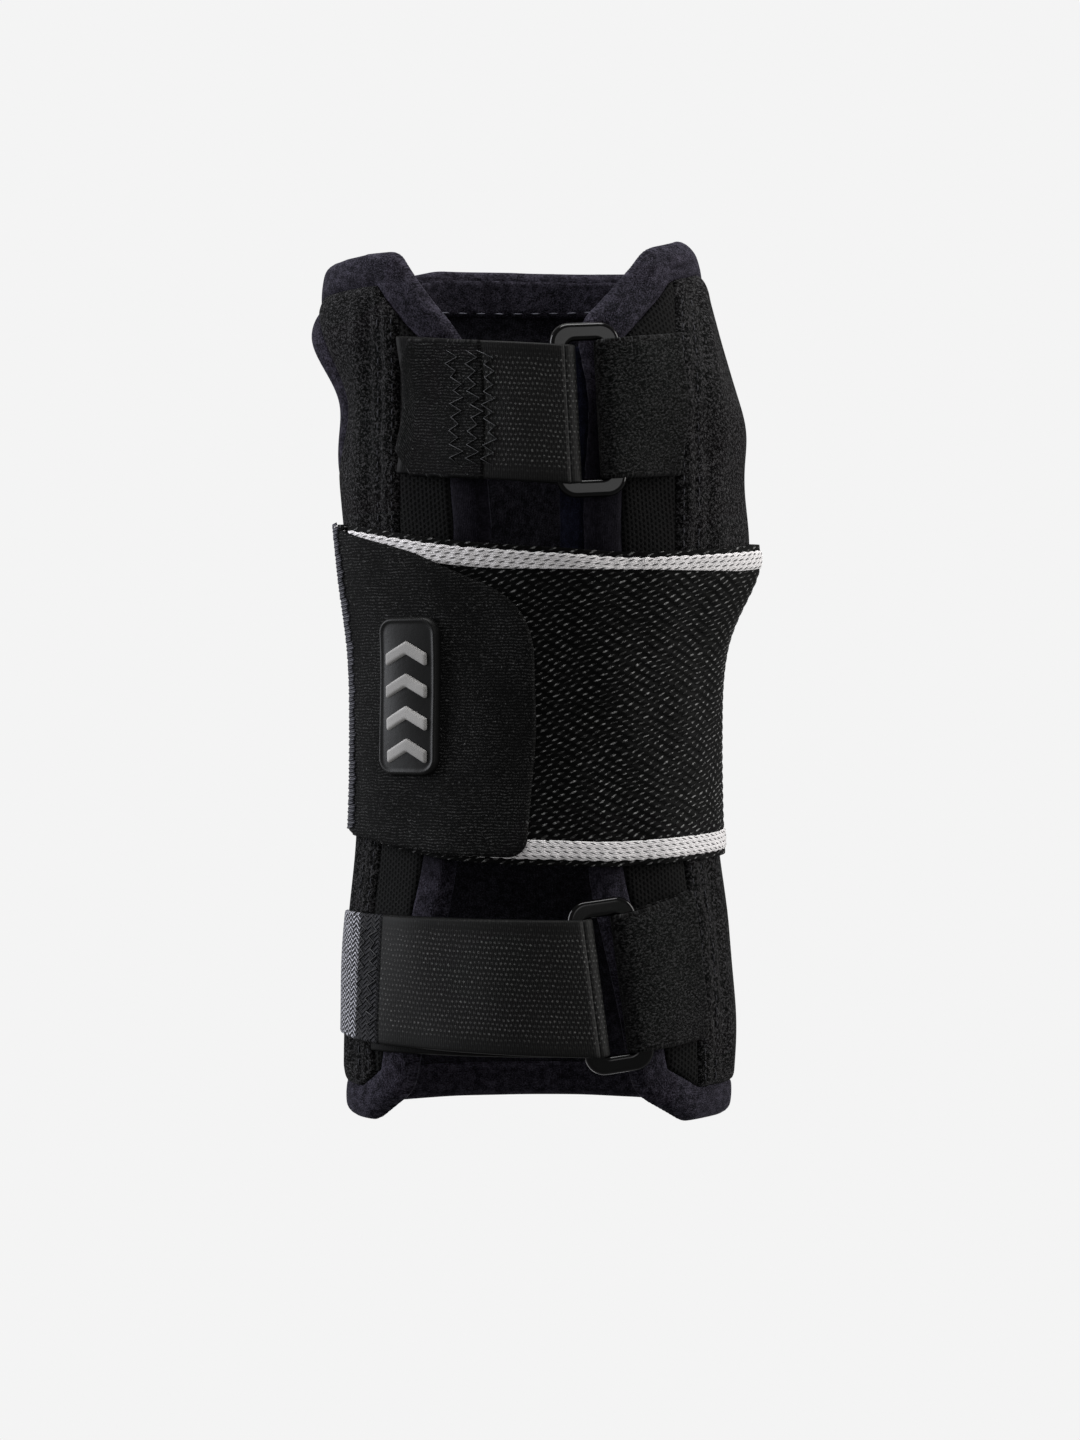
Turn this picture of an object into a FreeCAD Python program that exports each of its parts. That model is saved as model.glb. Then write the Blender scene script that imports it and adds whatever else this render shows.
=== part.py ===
"""Wrist guard: an open-fronted sleeve with stays, two ring-and-strap closures and a wide wrist band.

Frame: millimetres, +Z up the forearm axis, -Y towards the open front, +X to the little-finger side.
The sleeve is a stack of ellipses.  Every cloth layer is the space between two such stacks, trimmed
by an outline drawn in the front view.
"""
import FreeCAD, Part
import math
import os

import PartDesign
import Sketcher

doc = FreeCAD.newDocument("wrist_guard")

# ---------------------------------------------------------------- driving dimensions
# Sections of the shell's outer face, from the bottom rim up:
# height, half width, half depth, sideways shift of the centre.
LEVELS = [
    (0, 45.2, 31.0, -0.2),
    (20, 45.9, 30.8, 0.3),
    (45, 44.3, 29.2, 0.5),
    (65, 42.2, 28.0, 0.4),
    (90, 41.8, 27.0, 0.1),
    (112, 42.6, 27.5, 0.7),
    (132, 46.9, 28.5, 2.3),
    (150, 47.5, 29.0, 1.2),
    (170, 47.2, 29.3, 0.4),
    (188, 46.8, 29.3, -4.2),
    (208, 43.6, 28.5, -6.5),
]

DIMENSIONS = {
    # whole part
    "guard_height": 207,
    "origin_x": 0.5,
    "origin_y": 2.5,
    "reach": 75,
    # cloth layers, measured from the shell's outer face
    "shell_thickness": 3.0,
    "tape_thickness": 0.8,
    "tape_width": 8.5,
    "tape_turn": 0.8,
    "pocket_rise": 1.7,
    "pocket_cloth": 0.3,
    "stay_gap": 0.05,
    "layer_gap": 0.3,
    # panel joins
    "panel_seam": 31.5,
    "pocket_rear": 2.0,
    # palm splint
    "splint_half_width": 9.0,
    "palm_pocket_half_width": 14.0,
    "splint_margin": 5.0,
    # thumb hole
    "thumb_x": -44.0,
    "thumb_y": 9.0,
    "thumb_z": 173.0,
    "thumb_yaw": -28.0,
    "thumb_half_height": 18.0,
    "thumb_half_width": 13.5,
    "thumb_seat": 25.0,
    "thumb_tape_reach": 5.0,
    "thumb_tape_rise": 2.2,
    # rings
    "ring_width": 16.5,
    "ring_height": 40.5,
    "ring_bar": 4.2,
    "ring_thickness": 2.6,
    "ring_corner": 4.7,
    "ring_rounding": 1.1,
    "ring_play": 0.6,
    # straps
    "strap_thickness": 1.1,
    "strap_width": 30.4,
    "fold_offset": 0.9,
    "fold_overlap": 0.1,
    "fold_gap": 0.45,
    # wrist band
    "band_thickness": 1.0,
    "hook_tab_thickness": 1.2,
    "badge_thickness": 1.6,
    "badge_relief": 0.4,
    "band_front_x": -31.0,
    "band_hinge_y": 14.0,
    "band_slit": 1.2,
    "band_end_front_y": -9.0,
    "hook_tab_left_y": -4.0,
    "strap_slide": -0.1,
    "strap_rear": 2.5,
}

# Where each ring sits: middle of the ring in the front view, turn about Z, tilt in the front
# view, lean of the top towards the back.
RINGS = {
    "upper": {"x": 11.8, "y": -32.35, "z": 167.0, "yaw": 8.1, "tilt": -3.0, "lean": -0.5},
    "lower": {"x": 17.0, "y": -31.86, "z": 33.5, "yaw": 13.7, "tilt": -7.0, "lean": -3.3},
}

sheet = doc.addObject("Spreadsheet::Sheet", "dims")
row_count = 0


def put(alias, number):
    """Write one driving dimension into the sheet."""
    global row_count
    row_count += 1
    sheet.set(f"A{row_count}", alias.replace("_", " "))
    sheet.set(f"B{row_count}", str(number))
    sheet.setAlias(f"B{row_count}", alias)


for index, (height, half_width, half_depth, shift) in enumerate(LEVELS):
    put(f"level_{index}", height)
    put(f"half_width_{index}", half_width)
    put(f"half_depth_{index}", half_depth)
    put(f"shift_{index}", shift)
for alias, number in DIMENSIONS.items():
    put(alias, number)
for side, places in RINGS.items():
    for key, number in places.items():
        put(f"{side}_ring_{key}", number)
doc.recompute()


def dim(alias):
    return float(sheet.get(alias))


# Heights of the layers above the shell's outer face, as expressions on the sheet.
FACE = "0"
SHELL_IN = "-dims.shell_thickness"
TAPE_IN = "-dims.shell_thickness - dims.tape_thickness"
LINING_IN = "-dims.shell_thickness - 2 * dims.tape_thickness"
TAPE_OUT = "dims.tape_thickness"
POCKET_OUT = "dims.pocket_rise"
CAVITY_IN = "dims.pocket_cloth"
CAVITY_OUT = "dims.pocket_rise - dims.pocket_cloth"
STAY_IN = "dims.pocket_cloth + dims.stay_gap"
STAY_OUT = "dims.pocket_rise - dims.pocket_cloth - dims.stay_gap"
THUMB_TAPE_OUT = "dims.thumb_tape_rise"
LEG_IN = "dims.tape_thickness + dims.layer_gap"
LEG_OUT = "dims.tape_thickness + dims.layer_gap + dims.strap_thickness"
BAND_IN = "dims.pocket_rise + dims.layer_gap"
BAND_OUT = BAND_IN + " + dims.band_thickness"
TAB_IN = BAND_OUT + " + dims.layer_gap"
TAB_OUT = TAB_IN + " + dims.hook_tab_thickness"
BADGE_OUT = TAB_OUT + " + dims.badge_thickness"
RELIEF_OUT = BADGE_OUT + " + dims.badge_relief"

# In a ring's own frame: depth of a strap leg's middle, and how far from the centre the folds turn.
fold_middle = dim("ring_thickness") / 2 + dim("ring_play") + dim("strap_thickness") / 2
fold_reach = dim("ring_width") / 2 - dim("ring_bar") / 2 - dim("fold_offset")

# ---------------------------------------------------------------- outlines, front view
# Corners are (x, z, corner radius), counter-clockwise.
REACH = dim("reach")
TOP = dim("guard_height")

LEFT_OUTLINE = [
    (-REACH, 0, 0), (-40, 0, 10), (-30, 7.5, 8), (-20.5, 56, 60), (-11, 140, 60),
    (-16.5, 184, 25), (-32.5, 204.5, 4.5), (-50, 198, 14), (-REACH, 198, 0),
]
RIGHT_OUTLINE = [
    (REACH, 0, 0), (REACH, TOP, 0), (35, TOP, 3), (26.5, 205, 25), (9.5, 187, 15),
    (11, 138, 60), (13, 56, 60), (23.5, 7.5, 10), (36, 0, 20),
]
PALM_OUTLINE = [
    (-REACH, 0, 0), (REACH, 0, 0), (REACH, TOP, 0), (-20, TOP, 40), (-33, 204.3, 0),
    (-REACH, 204.3, 0),
]
LINING_OUTLINE = [(4.5, 122, 2), (16, 122, 2), (16, 184, 2), (4.5, 180, 6)]

LEFT_SEAM = [(-37, 0), (-38.5, 46), (-36.5, 66), (-32, 130), (-32, TOP + 5)]
RIGHT_SEAM = [(38, 0), (36.5, 45), (34, 62), (32.5, 130), (32, TOP + 5)]
LEFT_STAY_SIDE = [
    (-60, 14, 0), (-5, 14, 3), (-5, 125, 60), (-14.3, 152, 60), (-14.3, 188, 3), (-60, 188, 0),
]
RIGHT_STAY_SIDE = [(-60, 14, 0), (-9, 14, 3), (-9, 188, 3), (-60, 188, 0)]

BAND_OUTLINE = [
    (-REACH, 68.5, 0), (-42, 67, 80), (-10, 61.3, 80), (REACH, 62, 0),
    (REACH, 139.5, 0), (50, 138, 80), (15, 134.3, 120), (-41, 141.5, 80), (-REACH, 143, 0),
]
HOOK_TAB_OUTLINE = [
    (-REACH, 69, 0), (-41.5, 67.5, 40), (-18, 63, 60), (-2, 62.8, 4), (0, 90, 60),
    (-0.5, 122.6, 22), (-42, 141, 60), (-REACH, 142, 0),
]
BADGE_OUTLINE = [(-33.2, 81.9, 4), (-20.4, 81.9, 4), (-20.4, 119.3, 4), (-33.2, 119.3, 4)]
# Far ends of the straps: x, lower z, upper z.  The joint is where hook tab meets strap.
STRAP_ENDS = {
    "upper": {"leg": (-31.7, 153.5, 184.5), "joint": (-14.0, 151.9, 182.7)},
    "lower": {"leg": (-36.5, 16.4, 47.8), "joint": (-34.0, 16.2, 47.8)},
}
RING_TAB_ENDS = {
    "upper": [(31.6, 153.2), (31.6, 185.2)],
    "lower": [(36.8, 20.6), (34.6, 53.4)],
}
STRAP_TIPS = {
    "upper": [(-28, 184, 2), (-31.6, 178.5, 3), (-31.6, 159.5, 3), (-28, 153.3, 2)],
    "lower": [(-REACH, 48.5, 0), (-REACH, 20, 0), (-43, 17, 6)],
}

BADGE_BAR_COUNT = 4
BADGE_BAR_PITCH = 7.6
BADGE_BAR_HEIGHT = 3.2
BADGE_BAR_RISE = 3.0
BADGE_BAR_HALF_WIDTH = 4.2
BADGE_MIDDLE = (-26.8, 99.1)


def inset(points, distance):
    """Move every side of a counter-clockwise outline inwards; corner radii follow."""
    moved = []
    count = len(points)
    for i in range(count):
        before, here, after = points[i - 1], points[i], points[(i + 1) % count]
        d_in = (here[0] - before[0], here[1] - before[1])
        d_out = (after[0] - here[0], after[1] - here[1])
        n_in = (-d_in[1] / math.hypot(*d_in), d_in[0] / math.hypot(*d_in))
        n_out = (-d_out[1] / math.hypot(*d_out), d_out[0] / math.hypot(*d_out))
        spread = 1 + n_in[0] * n_out[0] + n_in[1] * n_out[1]
        convex = d_in[0] * d_out[1] - d_in[1] * d_out[0] > 0
        radius = here[2] - distance if convex else here[2] + distance
        if here[2] == 0 or radius < 0.2:
            radius = 0
        moved.append((here[0] + distance * (n_in[0] + n_out[0]) / spread,
                      here[1] + distance * (n_in[1] + n_out[1]) / spread, radius))
    return moved


def draw(sketch, points):
    """Lines with tangent arcs at the corners."""
    ends = []
    count = len(points)
    for i in range(count):
        before, here, after = points[i - 1], points[i], points[(i + 1) % count]
        corner = FreeCAD.Vector(here[0], here[1], 0)
        back = (FreeCAD.Vector(before[0], before[1], 0) - corner).normalize()
        ahead = (FreeCAD.Vector(after[0], after[1], 0) - corner).normalize()
        if here[2] == 0:
            ends.append((corner, corner))
            continue
        half_angle = back.getAngle(ahead) / 2
        run = here[2] / math.tan(half_angle)
        first, last = corner + back * run, corner + ahead * run
        centre = corner + (back + ahead).normalize() * (here[2] / math.sin(half_angle))
        middle = centre + (corner - centre).normalize() * here[2]
        sketch.addGeometry(Part.Arc(first, middle, last))
        ends.append((first, last))
    for i in range(count):
        sketch.addGeometry(Part.LineSegment(ends[i][1], ends[(i + 1) % count][0]))


def bind(thing, **expressions):
    for name, expression in expressions.items():
        thing.setExpression(name.replace("__", "."), expression)
    return thing


def prism(name, points, forward="dims.reach", rearward="0"):
    """A front-view outline pushed through the part along Y."""
    sketch = doc.addObject("Sketcher::SketchObject", name + "_outline")
    sketch.Placement = FreeCAD.Placement(FreeCAD.Vector(), FreeCAD.Rotation(FreeCAD.Vector(1, 0, 0), 90))
    draw(sketch, points)
    solid = doc.addObject("Part::Extrusion", name + "_prism")
    solid.Base = sketch
    solid.DirMode = "Custom"
    solid.Dir = FreeCAD.Vector(0, -1, 0)
    solid.Solid = True
    return bind(solid, LengthFwd=forward, LengthRev=rearward)


def side_prism(name, points):
    """A side-view outline, (y, z, radius), pushed through the part along X."""
    sketch = doc.addObject("Sketcher::SketchObject", name + "_outline")
    sketch.Placement = FreeCAD.Placement(FreeCAD.Vector(), FreeCAD.Rotation(90, 0, 90))
    draw(sketch, points)
    solid = doc.addObject("Part::Extrusion", name + "_prism")
    solid.Base = sketch
    solid.DirMode = "Custom"
    solid.Dir = FreeCAD.Vector(1, 0, 0)
    solid.Solid = True
    return bind(solid, LengthFwd="dims.reach", LengthRev="dims.reach")


def region(name, x_from, x_to, y_from, y_to):
    """A full-height box between two X and two Y limits given as expressions."""
    solid = doc.addObject("Part::Box", name)
    bind(solid, Length=f"({x_to}) - ({x_from})", Width=f"({y_to}) - ({y_from})",
         Height="dims.guard_height + 20")
    return bind(solid, Placement__Base__x=x_from, Placement__Base__y=y_from, Placement__Base__z="-10")


def unrefined(result):
    """Keep the faces as the boolean leaves them: merging them damages the ruled layers."""
    result.Refine = False
    return result


def cut(name, base, tool):
    result = unrefined(doc.addObject("Part::Cut", name))
    result.Base = base
    result.Tool = tool
    return result


def common(name, *shapes):
    result = unrefined(doc.addObject("Part::MultiCommon", name))
    result.Shapes = list(shapes)
    return result


def fuse(name, *shapes):
    result = unrefined(doc.addObject("Part::MultiFuse", name))
    result.Shapes = list(shapes)
    return result


lofts = {}


def body_form(rise, move_x="0", move_y="0"):
    """Solid bounded by the sleeve's surface raised by an expression, and shifted sideways if asked."""
    key = (rise, move_x, move_y)
    if key in lofts:
        return lofts[key]
    sections = []
    for level in range(len(LEVELS)):
        section = doc.addObject("Part::Ellipse", f"section_{len(lofts)}_{level}")
        bind(section, MajorRadius=f"dims.half_width_{level} + {rise}",
             MinorRadius=f"dims.half_depth_{level} + {rise}",
             Placement__Base__x=f"dims.shift_{level} + {move_x}",
             Placement__Base__y=move_y,
             Placement__Base__z=f"dims.level_{level}")
        sections.append(section)
    form = doc.addObject("Part::Loft", f"form_{len(lofts)}")
    form.Sections = sections
    form.Solid = True
    form.Ruled = True
    lofts[key] = form
    return form


layers = {}


def layer(inner, outer, move_x="0", move_y="0"):
    """The space between two body forms."""
    key = (inner, outer, move_x, move_y)
    if key not in layers:
        layers[key] = cut(f"layer_{len(layers)}", body_form(outer, move_x, move_y),
                          body_form(inner, move_x, move_y))
    return layers[key]


nodes = []


def node(name, thing):
    """Name a finished sub-part."""
    thing.Label = name
    nodes.append((name, thing))
    return thing


# ---------------------------------------------------------------- regions shared by several pieces
seam = "dims.panel_seam"
reach = "dims.reach"
beyond_left = region("beyond_left_seam", "-dims.reach", f"-{seam}", "-dims.reach", reach)
front_left = region("front_left", f"-{seam}", "dims.half_depth_0 / 2", "-dims.reach", "0")
beyond_right = region("beyond_right_seam", seam, reach, "-dims.reach", reach)
front_right = region("front_right", "-dims.half_depth_0 / 4", seam, "-dims.reach", "0")
palm_side = region("palm_side", f"-{seam}", seam, "0", reach)
left_zone = fuse("left_zone", beyond_left, front_left)
right_zone = fuse("right_zone", beyond_right, front_right)
ahead_of_pocket_rear = region("ahead_of_pocket_rear", "-dims.reach", reach,
                              "-dims.reach", "-dims.pocket_rear")


def thumb_form(name, grow):
    """Oval bar through the thumb hole, grown by an expression."""
    oval = doc.addObject("Part::Ellipse", name + "_oval")
    bind(oval, MajorRadius=f"dims.thumb_half_height + {grow}",
         MinorRadius=f"dims.thumb_half_width + {grow}")
    oval.setExpression(
        "Placement",
        "create(<<placement>>; create(<<vector>>;"
        " dims.thumb_x + dims.thumb_seat * cos(dims.thumb_yaw);"
        " dims.thumb_y + dims.thumb_seat * sin(dims.thumb_yaw); dims.thumb_z);"
        " create(<<rotation>>; dims.thumb_yaw; -90; 0))")
    solid = doc.addObject("Part::Extrusion", name)
    solid.Base = oval
    solid.DirMode = "Normal"
    solid.Reversed = True
    solid.Solid = True
    return bind(solid, LengthFwd="dims.thumb_seat * 2.4")


thumb_hole = thumb_form("thumb_hole", "0")
thumb_opening = thumb_form("thumb_opening", "-dims.tape_turn")
thumb_surround = thumb_form("thumb_surround", "dims.thumb_tape_reach")
thumb_clear = thumb_form("thumb_clear", "dims.thumb_tape_reach + dims.layer_gap")
thumb_stay_clear = thumb_form("thumb_stay_clear", "dims.thumb_tape_reach + 1")

# ---------------------------------------------------------------- shell panels
turn = dim("tape_turn")
tape_width = dim("tape_width")
shell = layer(SHELL_IN, FACE)
shell_edges = {
    "left": prism("left_shell_edge", inset(LEFT_OUTLINE, turn), reach, reach),
    "right": prism("right_shell_edge", inset(RIGHT_OUTLINE, turn), reach, reach),
    "palm": prism("palm_shell_edge", inset(PALM_OUTLINE, turn), "0", reach),
}


def panel(name, side, zone):
    return common(name, common(name + "_blank", shell, zone), shell_edges[side])


thumb_side = cut("thumb_side_panel", panel("thumb_side_whole", "left", beyond_left), thumb_hole)
left_front = panel("left_front_panel", "left", front_left)
finger_side = panel("little_finger_side_panel", "right", beyond_right)
right_front = panel("right_front_panel", "right", front_right)
palm = panel("palm_panel", "palm", palm_side)

# ---------------------------------------------------------------- binding tapes
tape = layer(TAPE_IN, TAPE_OUT)


def edge_tape(name, outline, zone, *panels):
    """U-section tape folded over the edge of one group of panels."""
    edge = prism(name + "_edge", outline, reach, reach)
    field = prism(name + "_field", inset(outline, tape_width), reach, reach)
    border = cut(name + "_border", edge, field)
    blank = common(name + "_tape_blank", common(name + "_tape_zone", tape, zone), border)
    for index, piece in enumerate(panels):
        blank = cut(f"{name}_tape_{index}", blank, piece)
    return blank


left_tape = edge_tape("left", LEFT_OUTLINE, left_zone, thumb_side, left_front, thumb_clear)
right_tape = edge_tape("right", RIGHT_OUTLINE, right_zone, finger_side, right_front)
palm_tape = edge_tape("palm", PALM_OUTLINE, palm_side, palm)
node("left_edge_binding", left_tape)
node("right_edge_binding", right_tape)
low_half = region("low_half", "-dims.reach", reach, "-dims.reach", reach)
bind(low_half, Height="dims.guard_height / 2")
node("palm_bottom_binding", common("palm_bottom_binding", palm_tape, low_half))
node("palm_top_binding", cut("palm_top_binding", palm_tape, low_half))

thumb_blank = common("thumb_blank", layer(TAPE_IN, THUMB_TAPE_OUT), thumb_surround)
thumb_ring = cut("thumb_ring", thumb_blank, thumb_opening)
pierced_shell = cut("pierced_shell", shell, thumb_hole)
node("thumb_hole_binding", cut("thumb_hole_binding", thumb_ring, pierced_shell))

node("thumb_side_panel", thumb_side)
node("left_front_panel", left_front)
node("little_finger_side_panel", finger_side)
node("right_front_panel", right_front)
node("palm_panel", palm)

lining_prism = prism("lining", LINING_OUTLINE)
node("right_lining_edge", common("right_lining_edge", layer(LINING_IN, TAPE_IN), lining_prism))

# ---------------------------------------------------------------- mesh, stay pockets and stays
left_beyond = [(-REACH, 0, 0)] + [(x, z, 0) for x, z in LEFT_SEAM] + [(-REACH, TOP + 5, 0)]
left_within = [(20, 0, 0), (20, TOP + 5, 0)] + [(x, z, 0) for x, z in reversed(LEFT_SEAM)]
right_beyond = [(REACH, 0, 0), (REACH, TOP + 5, 0)] + [(x, z, 0) for x, z in reversed(RIGHT_SEAM)]
right_within = [(x, z, 0) for x, z in RIGHT_SEAM] + [(-20, TOP + 5, 0), (-20, 0, 0)]


def front_mesh(name, outline, within, zone):
    field = prism(name + "_field", inset(outline, tape_width))
    return common(name, layer(FACE, TAPE_OUT), field, prism(name + "_side", within), zone)


node("left_front_mesh", front_mesh("left_front_mesh", LEFT_OUTLINE, left_within, left_zone))
node("right_front_mesh", front_mesh("right_front_mesh", RIGHT_OUTLINE, right_within, right_zone))


def stay_pair(side, outline, beyond, side_outline):
    """Front stay pocket with its hollow, and the flat metal stay inside it."""
    field = prism(side + "_pocket_field", inset(outline, tape_width))
    seam_side = prism(side + "_pocket_side", beyond)
    whole = common(side + "_pocket_blank", layer(FACE, POCKET_OUT), field, seam_side, ahead_of_pocket_rear)
    stay_margin = dim("pocket_cloth") + 1.9
    hollow = common(side + "_hollow", layer(CAVITY_IN, CAVITY_OUT),
                    prism(side + "_hollow_front", inset(beyond, stay_margin - 0.4)),
                    side_prism(side + "_hollow_side", inset(side_outline, -0.4)))
    stay = common(side + "_stay_blank", layer(STAY_IN, STAY_OUT),
                  prism(side + "_stay_front", inset(beyond, stay_margin)),
                  side_prism(side + "_stay_side", side_outline))
    return whole, hollow, stay


left_whole, left_hollow, left_stay = stay_pair("left", LEFT_OUTLINE, left_beyond, LEFT_STAY_SIDE)
left_open = cut("left_pocket_open", left_whole, thumb_clear)
node("left_stay_pocket", cut("left_stay_pocket", left_open, left_hollow))
node("left_stay", cut("left_stay", left_stay, thumb_stay_clear))
right_whole, right_hollow, right_stay = stay_pair("right", RIGHT_OUTLINE, right_beyond, RIGHT_STAY_SIDE)
node("right_stay_pocket", cut("right_stay_pocket", right_whole, right_hollow))
node("right_stay", right_stay)


def palm_outline(half_width, margin, radius):
    low, high = tape_width + margin, TOP - tape_width - margin
    return [(-half_width, low, radius), (half_width, low, radius),
            (half_width, high, radius), (-half_width, high, radius)]


splint_outline = palm_outline(dim("splint_half_width"), dim("splint_margin"), 7)
palm_pocket_outline = palm_outline(dim("palm_pocket_half_width"), 0.5, 5)
palm_blank = common("palm_pocket_blank", layer(FACE, POCKET_OUT),
                    prism("palm_pocket", palm_pocket_outline, "0", reach))
palm_hollow = common("palm_hollow", layer(CAVITY_IN, CAVITY_OUT),
                     prism("palm_hollow", inset(splint_outline, -0.4), "0", reach))
node("palm_splint_pocket", cut("palm_splint_pocket", palm_blank, palm_hollow))
node("palm_splint", common("palm_splint", layer(STAY_IN, STAY_OUT),
                           prism("palm_splint", splint_outline, "0", reach)))


# ---------------------------------------------------------------- rings, folds and straps
def ring_place(side, local_x="0", local_z="0", turn_by="0"):
    """Expression for a placement in a ring's own frame: local X across the ring, local Z along its bars."""
    seat = (f"create(<<placement>>; create(<<vector>>; dims.{side}_ring_x;"
            f" dims.{side}_ring_y; dims.{side}_ring_z);"
            f" create(<<rotation>>; dims.{side}_ring_yaw; dims.{side}_ring_tilt; dims.{side}_ring_lean))")
    local = (f"create(<<placement>>; create(<<vector>>; {local_x}; 0; {local_z});"
             f" create(<<rotation>>; {turn_by}; 0; 0))")
    return f"{seat} * {local}"


def rounded_frame(sketch, width, height, corner):
    half_w, half_h = width / 2, height / 2
    draw(sketch, [(-half_w, -half_h, corner), (half_w, -half_h, corner),
                  (half_w, half_h, corner), (-half_w, half_h, corner)])


def ring(side):
    """Moulded rectangular ring with rounded bars."""
    body = doc.addObject("PartDesign::Body", side + "_ring_body")
    sketch = body.newObject("Sketcher::SketchObject", side + "_ring_sketch")
    plane = [f for f in body.Origin.OriginFeatures if f.Role == "XZ_Plane"][0]
    sketch.AttachmentSupport = (plane, "")
    sketch.MapMode = "FlatFace"
    rounded_frame(sketch, dim("ring_width"), dim("ring_height"), dim("ring_corner"))
    rounded_frame(sketch, dim("ring_width") - 2 * dim("ring_bar"), dim("ring_height") - 2 * dim("ring_bar"),
                  dim("ring_corner") - dim("ring_bar") + 1.2)
    pad = body.newObject("PartDesign::Pad", side + "_ring_pad")
    pad.Profile = sketch
    pad.SideType = "Symmetric"
    bind(pad, Length="dims.ring_thickness")
    doc.recompute()
    rounding = body.newObject("PartDesign::Fillet", side + "_ring_rounding")
    half = dim("ring_thickness") / 2
    flat_edges = [f"Edge{i + 1}" for i, edge in enumerate(pad.Shape.Edges)
                  if abs(abs(edge.CenterOfMass.y) - half) < 0.01]
    rounding.Base = (pad, flat_edges)
    bind(rounding, Radius="dims.ring_rounding")
    body.Tip = rounding
    body.Label = side + "_ring"
    body.setExpression("Placement", ring_place(side))
    nodes.append((side + "_ring", body))


def half_sleeve(name, side, facing):
    """Half tube of strap round a ring bar; facing is +1 round the left bar, -1 round the right bar."""
    outer = doc.addObject("Part::Cylinder", name + "_outer")
    inner = doc.addObject("Part::Cylinder", name + "_inner")
    bind(outer, Radius="dims.ring_thickness / 2 + dims.ring_play + dims.strap_thickness",
         Height="dims.strap_width", Angle="180")
    bind(inner, Radius="dims.ring_thickness / 2 + dims.ring_play", Height="dims.strap_width", Angle="180")
    fold = cut(name, outer, inner)
    centre = f"{-facing} * (dims.ring_width / 2 - dims.ring_bar / 2 - dims.fold_offset)"
    slide = "dims.strap_slide" if facing > 0 else "0"
    place = ring_place(side, centre, f"{slide} - dims.strap_width / 2", str(-90 * facing))
    fold.setExpression("Placement", place)
    return fold


# Each returning leg rises from its stitched end to the top of the ring bar, so its form is shifted.
RETURNS = {
    "upper": {"rise": 2.75, "move_x": 5.07, "move_y": -3.0},
    "lower": {"rise": 3.68, "move_x": 2.01, "move_y": -2.0},
}
for side, shape in RETURNS.items():
    for key, number in shape.items():
        put(f"{side}_return_{key}", number)
put("upper_ring_tab_rise", 3.5)
put("lower_ring_tab_rise", 2.9)
doc.recompute()


def returning_layer(side):
    stem = f"dims.{side}_return"
    return layer(f"{stem}_rise", f"{stem}_rise + dims.strap_thickness", f"{stem}_move_x", f"{stem}_move_y")


def ring_seat(side):
    return FreeCAD.Placement(
        FreeCAD.Vector(dim(f"{side}_ring_x"), dim(f"{side}_ring_y"), dim(f"{side}_ring_z")),
        FreeCAD.Rotation(dim(f"{side}_ring_yaw"), dim(f"{side}_ring_tilt"), dim(f"{side}_ring_lean")))


def fold_line(side, facing, outward, overlap):
    """Front-view ends, low end first, of the line where a leg starts at its fold.

    The leg is the outer (+1) or the inner (-1) one and runs into the fold by overlap.
    """
    seat = ring_seat(side)
    slide = dim("strap_slide") if facing > 0 else 0
    ends = []
    for end in (-1, 1):
        local = FreeCAD.Vector(-facing * (fold_reach - overlap), -outward * fold_middle,
                               slide + end * dim("strap_width") / 2)
        point = seat.multVec(local)
        ends.append((point.x, point.z, 0))
    return ends


def surface_point(x, z, rise):
    """Point of the sleeve's front at a front-view place, raised by rise."""
    for low, high in zip(LEVELS, LEVELS[1:]):
        if z <= high[0]:
            break
    share = (z - low[0]) / (high[0] - low[0])
    half_width, half_depth, shift = (a + (b - a) * share for a, b in zip(low[1:], high[1:]))
    across = (x - shift) / (half_width + rise)
    return FreeCAD.Vector(x, -(half_depth + rise) * math.sqrt(1 - across**2), z)


def over_leg(side):
    """Outer leg of a ring tab: flat over the ring's bar, then straight down to its stitched end."""
    seat = ring_seat(side)
    start = fold_reach - dim("fold_overlap")
    past_bar = dim("ring_width") / 2 + 0.5
    rise = dim(f"{side}_ring_tab_rise")
    thickness = dim("strap_thickness")
    half = dim("strap_width") / 2
    lift = fold_middle - thickness / 2
    sections = []
    for local_x in (start, past_bar):
        sections.append([seat.multVec(FreeCAD.Vector(local_x, y, z))
                         for y, z in ((-lift, -half), (-lift, half),
                                      (-lift - thickness, half), (-lift - thickness, -half))])
    (low_x, low_z), (high_x, high_z) = RING_TAB_ENDS[side]
    sections.append([surface_point(low_x, low_z, rise), surface_point(high_x, high_z, rise),
                     surface_point(high_x, high_z, rise + thickness),
                     surface_point(low_x, low_z, rise + thickness)])
    wires = []
    for index, corners in enumerate(sections):
        wire = doc.addObject("Part::Polygon", f"{side}_over_section_{index}")
        wire.Nodes = corners
        wire.Close = True
        wires.append(wire)
    leg = doc.addObject("Part::Loft", f"{side}_ring_tab_over")
    leg.Sections = wires
    leg.Solid = True
    leg.Ruled = True
    return leg


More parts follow.
